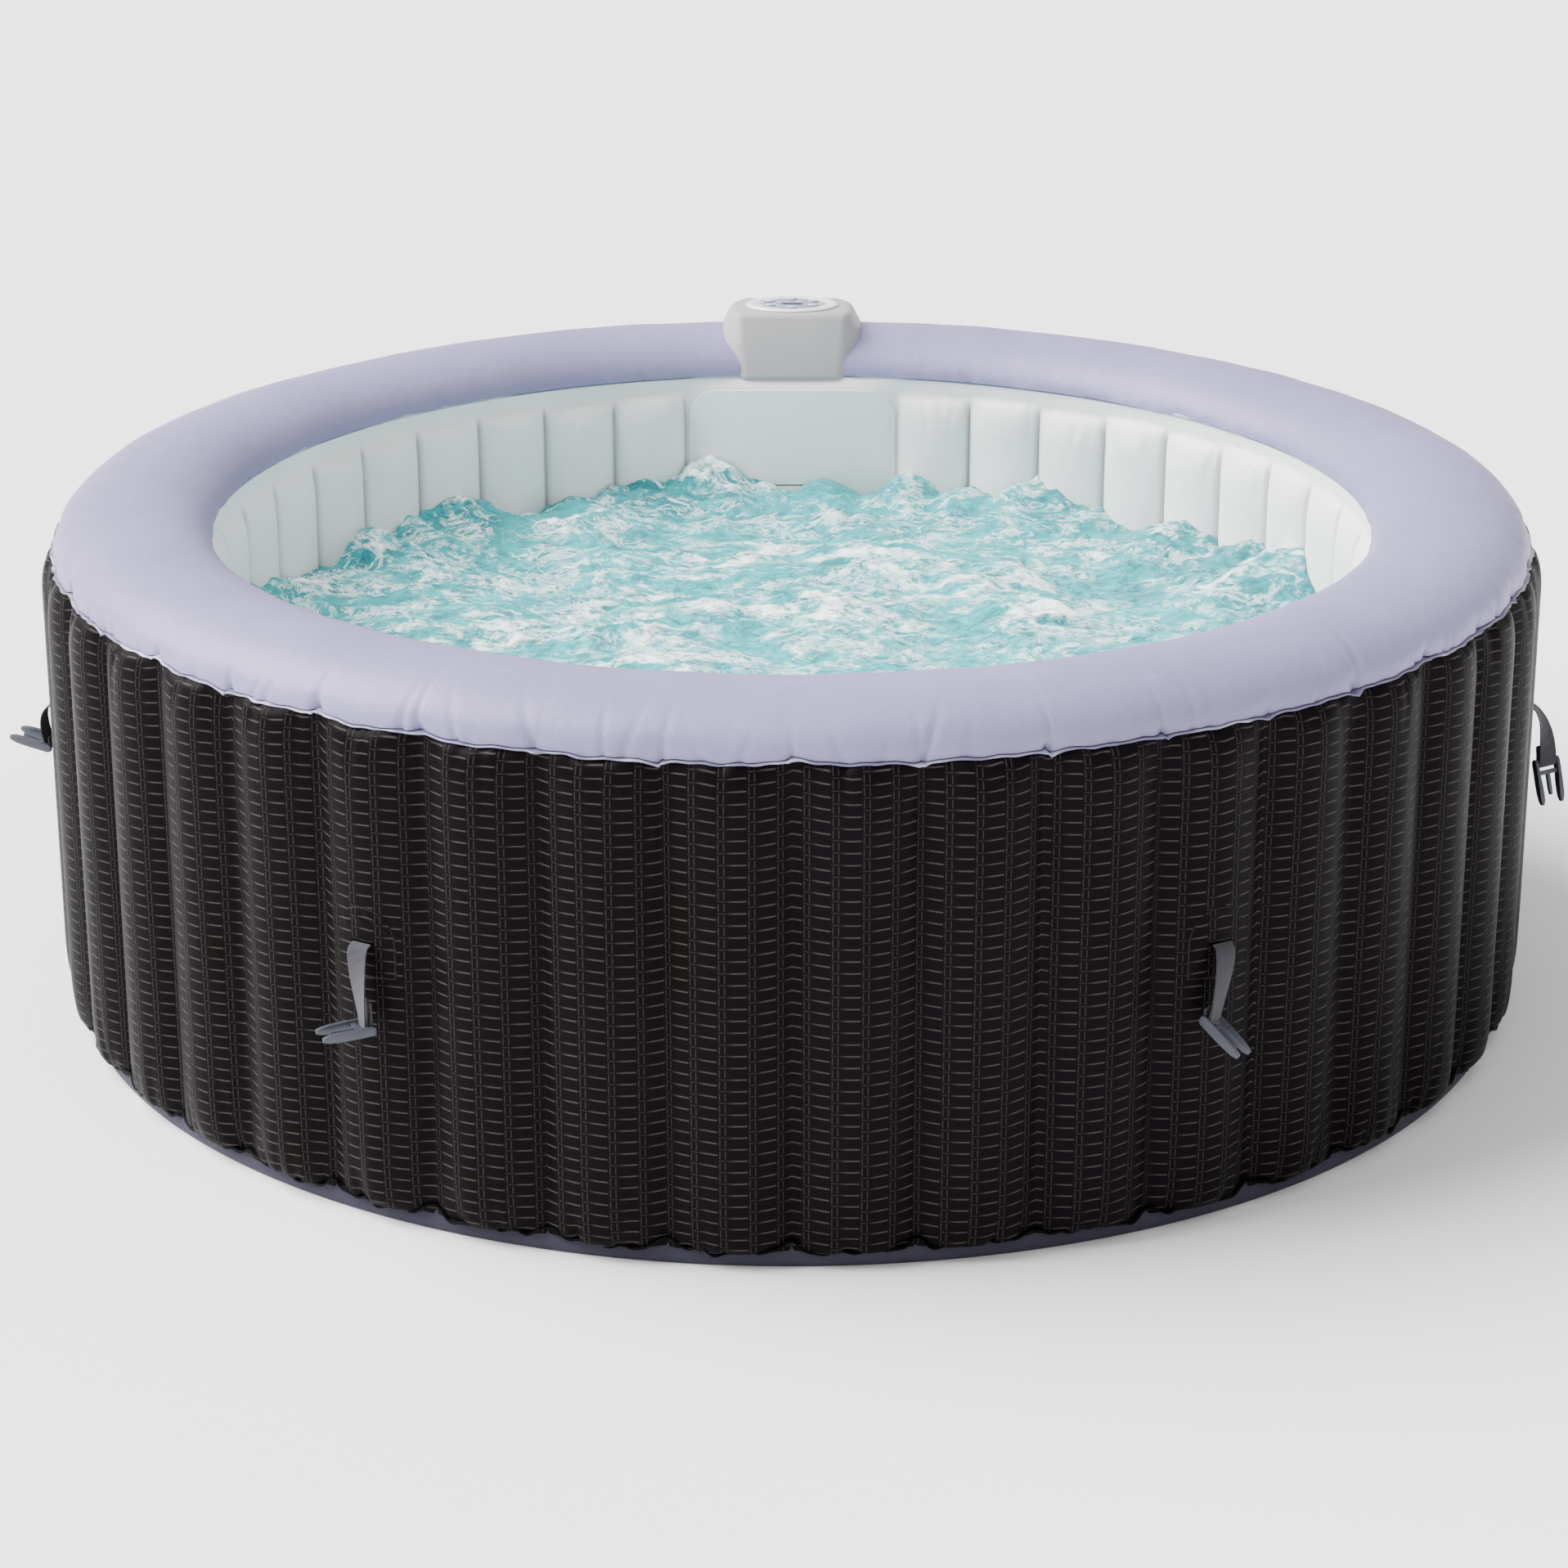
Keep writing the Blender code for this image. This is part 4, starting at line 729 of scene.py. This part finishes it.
ground, share, level = rolled_sheet("ground_skirt", ground_columns, ground_rows)
azimuth, index, across, over_chambers = round_the_tub(share, ground_columns)
peak = np.exp(-(((1 - np.abs(across)) / 0.22) ** 2))
sag = rough_noise(ground_columns, 17, ((11, 1.0), (29, 0.8), (73, 0.6)))[index]
flat_part = ground_radius * (0.90 + 0.10 * np.sqrt(np.clip(level / 0.5, 0, 1)))
radius = np.where(level < 0.5, flat_part, ground_radius)
climb = np.clip((level - 0.5) / 0.5, 0, 1)
height = ground_rest + climb * (turn_up + turn_up_at_seams * peak)
height += 0.0012 * np.clip(sag, -0.4, 1) * np.sin(pi * climb)
radius = radius - 0.0035 * np.exp(-climb / 0.18) * (level >= 0.5) - 0.004 * climb**2 + 0.0012 * sag * climb
place_sheet(ground, np.column_stack([radius * np.sin(azimuth), -radius * np.cos(azimuth), height]))
bpy.context.view_layer.objects.active = ground
ground.select_set(True)
bpy.ops.object.mode_set(mode="EDIT")
bpy.ops.mesh.select_all(action="DESELECT")
bpy.ops.object.mode_set(mode="OBJECT")
hole_radius = 0.90 * ground_radius + 1e-4
for edge in ground.data.edges:
    ends = [ground.data.vertices[i].co for i in edge.vertices]
    edge.select = all(end.z < ground_rest + 1e-4 and end.xy.length < hole_radius for end in ends)
bpy.ops.object.mode_set(mode="EDIT")
bpy.ops.mesh.edge_face_add()
bpy.ops.mesh.select_all(action="SELECT")
bpy.ops.mesh.normals_make_consistent(inside=False)
bpy.ops.object.mode_set(mode="OBJECT")
bpy.ops.object.select_all(action="DESELECT")
under, place, inputs = finish("vinyl_ground_sheet", specular_ior_level=0.1)
feed(inputs,
     base_color=place.cells(4.0, 3.0).blend((0.028, 0.026, 0.042), (0.042, 0.040, 0.060)),
     roughness=0.45 + place.cells(30.0, 3.0) * 0.15,
     normal=(place.cells(300.0, 2.0) * 0.3 + place.cells(24.0, 3.0) * 1.5).bump(0.0012))
ground.data.materials.append(under)
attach(ground, "tub")
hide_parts("base_sheet")


# --- Bottom seam --------------------------------------------------------------------------------
# A black welded flange between wall and ground sheet. It is thin and ruffled, and lifts at the seams.

welt_width = 0.0245
welt_height = 0.0225
welt_thickness = 0.0018

welt, share, level = rolled_sheet("bottom_flange", rim_columns, 4)
azimuth, index, across, over_chambers = round_the_tub(share, rim_columns)
peak = np.exp(-(((1 - np.abs(across)) / 0.20) ** 2))
ruffle = rough_noise(rim_columns, 41, ((47, 1.0), (113, 1.0), (190, 0.7)))[index]
other = rough_noise(rim_columns, 43, ((31, 1.0), (77, 0.8)))[index]
radius = seam_radius - 0.020 + welt_width * level - 0.004 * peak + 0.002 * other * level
height = welt_height + level * (0.0032 * ruffle - 0.0010 + 0.0065 * peak) + 0.003 * peak
place_sheet(welt, np.column_stack([radius * np.sin(azimuth), -radius * np.cos(azimuth), height]))
thicken(welt, welt_thickness)
black_vinyl, place, inputs = finish("vinyl_black_seam", specular_ior_level=0.04)
feed(inputs,
     base_color=place.cells(20.0, 3.0).blend((0.0012, 0.0011, 0.0013), (0.0028, 0.0025, 0.0028)),
     roughness=0.42 + place.cells(60.0, 3.0) * 0.15,
     normal=place.cells(140.0, 3.0).bump(0.0008))
welt.data.materials.append(black_vinyl)
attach(welt, "tub")
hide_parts("bottom_welt")


# --- Console ------------------------------------------------------------------------------------
# A moulded housing that sits over the rim at the back: a flat face towards the bather, splayed
# flanks, and a top that leans back. All its edges are generously rounded.

top_tilt = radians(3.9)
top_middle = rim_radius + 0.0086
top_height = crest_height + 0.0243
front_y, back_y = top_middle - 0.074, top_middle + 0.074


def console_top(y, half):
    return (y, half, top_height - (y - top_middle) * sin(top_tilt))


waist = rim_height + 0.7 * rim_half_height
foot = rim_height - 0.004
foot_y = liner_bay_y + 0.0026
levels = [
    [(foot_y, 0.068, foot), (foot_y + 0.016, 0.0865, foot), (front_y + 0.045, 0.0960, foot),
     (back_y - 0.010, 0.0960, foot), (seam_radius + 0.012, 0.072, foot)],
    [(front_y - 0.023, 0.0735, waist), (front_y + 0.002, 0.0965, waist + 0.003),
     (front_y + 0.045, 0.1045, waist + 0.004), (back_y - 0.022, 0.1020, waist + 0.004),
     (back_y + 0.012, 0.075, waist)],
    [console_top(front_y - 0.001, 0.0780), console_top(front_y + 0.020, 0.0845),
     console_top(front_y + 0.050, 0.0870), console_top(back_y - 0.035, 0.0850),
     console_top(back_y, 0.069)],
]
bpy.ops.mesh.primitive_cylinder_add(vertices=10, depth=2, radius=1, end_fill_type="NGON")
console = bpy.context.active_object
console.name = "console_moulding"
bpy.ops.object.mode_set(mode="EDIT")
bpy.ops.mesh.select_all(action="SELECT")
bpy.ops.mesh.bisect(plane_co=(0, 0, 0), plane_no=(0, 0, 1))
bpy.ops.object.mode_set(mode="OBJECT")
for vertex in console.data.vertices:
    row = levels[round(vertex.co.z) + 1]
    tenth = round(np.arctan2(vertex.co.x, vertex.co.y) / (pi / 5)) % 10
    side = 1 if tenth < 5 else -1
    step = 4 - tenth if tenth < 5 else tenth - 5
    y, half, z = row[step]
    vertex.co = (side * half, y, z)
bpy.ops.object.mode_set(mode="EDIT")
bpy.ops.mesh.select_all(action="SELECT")
bpy.ops.mesh.normals_make_consistent(inside=False)
bpy.ops.object.mode_set(mode="OBJECT")
bevel = console.modifiers.new("rounding", "BEVEL")
bevel.width = 0.0085
bevel.segments = 5
bevel.limit_method = "ANGLE"
bevel.angle_limit = radians(12)
bpy.ops.object.modifier_apply(modifier=bevel.name)
bpy.ops.object.shade_smooth_by_angle(angle=radians(40))
bpy.ops.object.transform_apply(location=True, rotation=True, scale=True)
bpy.ops.object.select_all(action="DESELECT")
grey_shell, place, inputs = finish("plastic_console_grey", specular_ior_level=0.45)
feed(inputs,
     base_color=place.cells(6.0, 3.0).rise(0.3, 0.7).blend((0.325, 0.310, 0.318), (0.360, 0.345, 0.352)),
     roughness=0.42 + place.cells(120.0, 3.0) * 0.12,
     normal=(place.cells(700.0, 2.0) * 0.8).bump(0.0003))
console.data.materials.append(grey_shell)
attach(console, "tub")
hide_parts("console_housing")


# --- Console dial -------------------------------------------------------------------------------
# A glossy white ring round a printed disc, with a display window and six keys on it.

ring = softened("dial_ring", "dial_ring_gloss", 0.0006, 2, 30, 60)
ring_white, place, inputs = finish("plastic_ring_gloss", coat_weight=0.4, coat_roughness=0.1)
feed(inputs,
     base_color=place.cells(20.0, 2.0).blend((0.86, 0.87, 0.89), (0.90, 0.91, 0.93)),
     roughness=0.18 + place.cells(60.0, 2.0) * 0.08)
ring.data.materials.append(ring_white)

DIAL_MARKS = 60
disc = softened("control_panel", "control_panel_printed", 0.0003, 1)
disc_print, place, inputs = finish("panel_printed_disc", specular_ior_level=0.5)
from_middle = place.node("Mapping", ("Vector", place), ("Location", (0.0, -top_middle, 0.0)),
                         ("Scale", (1.0, 1.0, 0.0)))
reach = place.node("VectorMath", from_middle, operation="LENGTH", output=1)
bearing = place.node("Math", place.node("SeparateXYZ", from_middle, output=0),
                     place.node("SeparateXYZ", from_middle, output=1), operation="ARCTAN2")
rings = 1.0 - abs(reach - 0.0255).rise(0.0006, 0.0011)
rings = rings.larger(1.0 - abs(reach - 0.0470).rise(0.0005, 0.0010))
marks = abs((bearing * (DIAL_MARKS / (2 * pi))) % 1.0 - 0.5).rise(0.2, 0.3)
marks = (1.0 - abs(reach - 0.0425).rise(0.0012, 0.0018)) * marks
blue = place.cells(30.0, 2.0).blend((0.150, 0.175, 0.280), (0.210, 0.240, 0.350))
feed(inputs,
     base_color=rings.larger(marks * 0.8).blend(blue, (0.80, 0.83, 0.90)),
     roughness=0.28 + place.cells(50.0, 2.0) * 0.08)
disc.data.materials.append(disc_print)

lens = softened("display_lens", "display_window", 0.0004, 2)
lens_black, place, inputs = finish("lens_smoked", coat_weight=0.6, coat_roughness=0.05)
feed(inputs,
     base_color=place.cells(40.0, 2.0).blend((0.030, 0.040, 0.060), (0.050, 0.065, 0.090)),
     roughness=0.10 + place.cells(30.0, 2.0) * 0.05)
lens.data.materials.append(lens_black)

key_grey, place, inputs = finish("plastic_key_grey", specular_ior_level=0.5)
feed(inputs,
     base_color=place.cells(60.0, 2.0).blend((0.400, 0.430, 0.560), (0.480, 0.510, 0.640)),
     roughness=0.32 + place.cells(200.0, 2.0) * 0.12,
     normal=place.cells(900.0, 2.0).bump(0.0001))
for key in ("power", "heat", "filter", "bubble", "warmer", "cooler"):
    cap = softened("button_" + key, "key_" + key, 0.0003, 2)
    cap.data.materials.append(key_grey)


# --- Strap patches ------------------------------------------------------------------------------
# A reinforcing patch of the printed vinyl, welded to the wall round each strap's slot: straight at
# the foot, with a round top.

STRAPS = ("front_left", "front_right", "left", "right", "rear_left", "rear_right")
patch_radius = 0.038
slot_width, slot_height = 0.0300, 0.0044
print_shift = 96.37
patch_vinyl = woven_vinyl("vinyl_woven_patch", with_painted_light=True)
for name in STRAPS:
    low, high = (Vector(p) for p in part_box("patch_" + name))
    middle = (low + high) / 2
    azimuth = np.arctan2(middle.x, -middle.y)
    patch, share, level = rolled_sheet("strap_patch_" + name, 60, 60)
    a, b = 2 * share - 1, 2 * level - 1
    disc_a = a * np.sqrt(1 - b**2 / 2)
    disc_b = b * np.sqrt(1 - a**2 / 2)
    wide = patch_radius * np.where(disc_b < 0, a, disc_a)
    tall = patch_radius * np.where(disc_b < 0, 1.05 * b, 1.10 * disc_b)
    turn = azimuth + wide / (outer_valley + outer_bulge)
    across = 2 * ((turn / outer_pitch) % 1) - 1
    to_edge = 1 - np.maximum(np.abs(a), np.abs(b))
    folds = np.sin(9 * a + 14 * b) * np.exp(-(((b - 0.72 + 0.3 * a**2) / 0.16) ** 2))
    folds *= np.clip(to_edge / 0.15, 0, 1)
    slot = (np.abs(wide) < slot_width / 2) & (np.abs(tall) < slot_height / 2)
    radius = outer_valley + outer_bulge * (1 - across**2) + 0.0003 + 0.0013 * np.clip(to_edge / 0.06, 0, 1)
    radius += 0.0009 * folds - 0.0014 * slot
    z = middle.z + tall
    place_sheet(patch, np.column_stack([radius * np.sin(turn), -radius * np.cos(turn), z]),
                uv=(turn / outer_pitch * columns_per_chamber + print_shift, z / strand_spacing + 0.31),
                merge=False)
    # An attribute for painted light: 1 along the welded edge, painted lighter as a highlight, and -1 in the
    # slot, painted near black as shade.
    mark = patch.data.attributes.new("mark", "FLOAT", "POINT")
    mark.data.foreach_set("value", np.where(slot, -1.0, np.exp(-(((to_edge - 0.03) / 0.022) ** 2))))
    patch.data.materials.append(patch_vinyl)
    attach(patch, "tub")
    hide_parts("patch_" + name)


# --- Buckle straps ------------------------------------------------------------------------------
# Woven webbing that hangs from its slot and folds back round the buckle's bar. The weave is fine ribs across
# the band.

webbing, place, inputs = finish("webbing_slate", sheen_weight=0.15, sheen_roughness=0.5)
ribs = place.node("TexWave", ("Vector", place), ("Scale", 260.0), ("Distortion", 1.5), ("Detail", 1.0),
                  wave_type="BANDS", bands_direction="Z", output=1)
thread = place.cells(900.0, 2.0)
weave = (ribs * 0.6 + thread * 0.5).rise(0.2, 0.9)
feed(inputs,
     base_color=weave.blend((0.009, 0.009, 0.014), (0.030, 0.030, 0.043)),
     roughness=0.78 + thread * 0.15,
     normal=(ribs * 0.8 + thread * 0.6).bump(0.0006))
for name in STRAPS:
    strap = softened("strap_" + name, "webbing_" + name, 0)
    bpy.context.view_layer.objects.active = strap
    strap.select_set(True)
    crease_layer = strap.data.attributes.new("crease_edge", "FLOAT", "EDGE")
    bends = np.zeros(len(strap.data.edges))
    edge_faces = {}
    for face in strap.data.polygons:
        for pair in face.edge_keys:
            edge_faces.setdefault(pair, []).append(face.normal)
    for number, edge in enumerate(strap.data.edges):
        normals = edge_faces.get(tuple(sorted(edge.vertices)), [])
        if len(normals) == 2 and normals[0].angle(normals[1], 0) > radians(60):
            bends[number] = 0.75
    crease_layer.data.foreach_set("value", bends)
    smooth = strap.modifiers.new("smooth", "SUBSURF")
    smooth.levels = smooth.render_levels = 3
    bpy.ops.object.modifier_apply(modifier=smooth.name)
    bpy.ops.object.shade_smooth_by_angle(angle=radians(50))
    bpy.ops.object.select_all(action="DESELECT")
    strap.data.materials.append(webbing)


# --- Buckles ------------------------------------------------------------------------------------
# The tongue of a side-release buckle, moulded in slate plastic: a bar for the webbing, two spring
# arms and a guide between them.

buckle_plastic, place, inputs = finish("plastic_buckle_slate", specular_ior_level=0.5)
feed(inputs,
     base_color=place.cells(40.0, 3.0).blend((0.022, 0.025, 0.037), (0.038, 0.043, 0.060)),
     roughness=0.36 + place.cells(200.0, 2.0) * 0.15,
     normal=place.cells(600.0, 2.0).bump(0.0002))
for name in STRAPS:
    tongue = softened("buckle_" + name, "buckle_tongue_" + name, 0.0016, 3)
    tongue.data.materials.append(buckle_plastic)


# --- Service side -------------------------------------------------------------------------------
# Moulded fittings on the outside: the pump unit's air grille with the cord's gland, the air valve
# and the drain.

fitting_grey, place, inputs = finish("plastic_fitting_grey", specular_ior_level=0.5)
feed(inputs,
     base_color=place.cells(12.0, 3.0).blend((0.250, 0.242, 0.250), (0.285, 0.276, 0.284)),
     roughness=0.38 + place.cells(150.0, 2.0) * 0.14,
     normal=place.cells(500.0, 2.0).bump(0.0002))
fitting_black, place, inputs = finish("plastic_fitting_black", specular_ior_level=0.5)
feed(inputs,
     base_color=place.cells(20.0, 3.0).blend((0.018, 0.018, 0.020), (0.040, 0.040, 0.043)),
     roughness=0.42 + place.cells(150.0, 2.0) * 0.14,
     normal=place.cells(500.0, 2.0).bump(0.0002))
for node, material, slot in (
    ("service_grille", fitting_grey, "plastic_grey"), ("cord_gland", fitting_black, "plastic_black"),
    ("air_valve_body", fitting_grey, "plastic_grey"), ("air_valve_cap", fitting_grey, "plastic_grey"),
    ("drain_pipe", fitting_grey, "plastic_grey"), ("drain_cap", fitting_grey, "plastic_grey"),
):
    part = softened(node, node + "_moulded", 0.0008, 2)
    part.data.materials.append(material)


# --- Pieces inside ------------------------------------------------------------------------------
# The pump unit, the filter, the floor and the webs keep the shapes that they were made with, and each gets
# the finish of its real material; the filter's pleats also carry painted shade.

inside_white, place, inputs = finish("plastic_inside_white", specular_ior_level=0.5)
feed(inputs,
     base_color=place.cells(14.0, 3.0).blend((0.76, 0.77, 0.77), (0.84, 0.85, 0.85)),
     roughness=0.34 + place.cells(120.0, 2.0) * 0.12,
     normal=place.cells(400.0, 2.0).bump(0.0002))
PLEATS = 60
pleats, place, inputs = finish("filter_pleats", specular_ior_level=0.2)
around = place.node("Mapping", ("Vector", place), ("Location", (0.050, 0.0, -0.200)))
angle = place.node("Math", place.node("SeparateXYZ", around, output=0),
                   place.node("SeparateXYZ", around, output=2), operation="ARCTAN2")
fold = abs((angle * (PLEATS / (2 * pi))) % 1.0 - 0.5) * 2.0
feed(inputs,
     # Painted shade and highlight: the colour is darker in the valleys of the pleats and lighter on their
     # ridges, following the fold that drives the bump.
     base_color=fold.blend((0.50, 0.54, 0.60), (0.80, 0.83, 0.86)),
     roughness=0.85 + place.cells(80.0, 2.0) * 0.1,
     normal=fold.bump(0.004))
board, place, inputs = finish("circuit_board", specular_ior_level=0.5)
tracks = place.node("TexBrick", ("Vector", place), ("Scale", 120.0), ("Mortar Size", 0.03), output=1)
feed(inputs,
     base_color=tracks.blend((0.020, 0.110, 0.045), (0.120, 0.300, 0.100)),
     roughness=0.35 + place.cells(60.0, 2.0) * 0.2)
motor_grey, place, inputs = finish("motor_painted", metallic=0.6)
feed(inputs,
     base_color=place.cells(30.0, 3.0).blend((0.18, 0.18, 0.19), (0.28, 0.28, 0.29)),
     roughness=0.36 + place.cells(200.0, 2.0) * 0.15,
     normal=place.cells(500.0, 2.0).bump(0.0002))
steel, place, inputs = finish("steel_brushed", metallic=1.0)
brushed = place.stretched(1.0, 1.0, 60.0).cells(20.0, 3.0)
feed(inputs,
     base_color=brushed.blend((0.50, 0.50, 0.50), (0.66, 0.66, 0.66)),
     roughness=0.24 + brushed * 0.18,
     normal=brushed.bump(0.0001))
for node, material in (
    ("pump_case_front", fitting_grey), ("pump_case_back", fitting_grey), ("console_neck", fitting_grey),
    ("pump_volute", fitting_black), ("blower_case", fitting_black), ("pump_impeller", inside_white),
    ("blower_fan", inside_white), ("filter_socket", inside_white), ("return_nozzle", inside_white),
    ("filter_cover", inside_white), ("drain_plug", inside_white), ("filter_cartridge", pleats),
    ("control_board", board), ("pump_motor", motor_grey), ("heater_tube", steel),
    ("floor_sheet", white_vinyl), ("bubble_ring", white_vinyl), ("wall_ribs", white_vinyl),
):
    piece = frame["nodes"][node]
    piece.data.materials.clear()
    piece.data.materials.append(material)
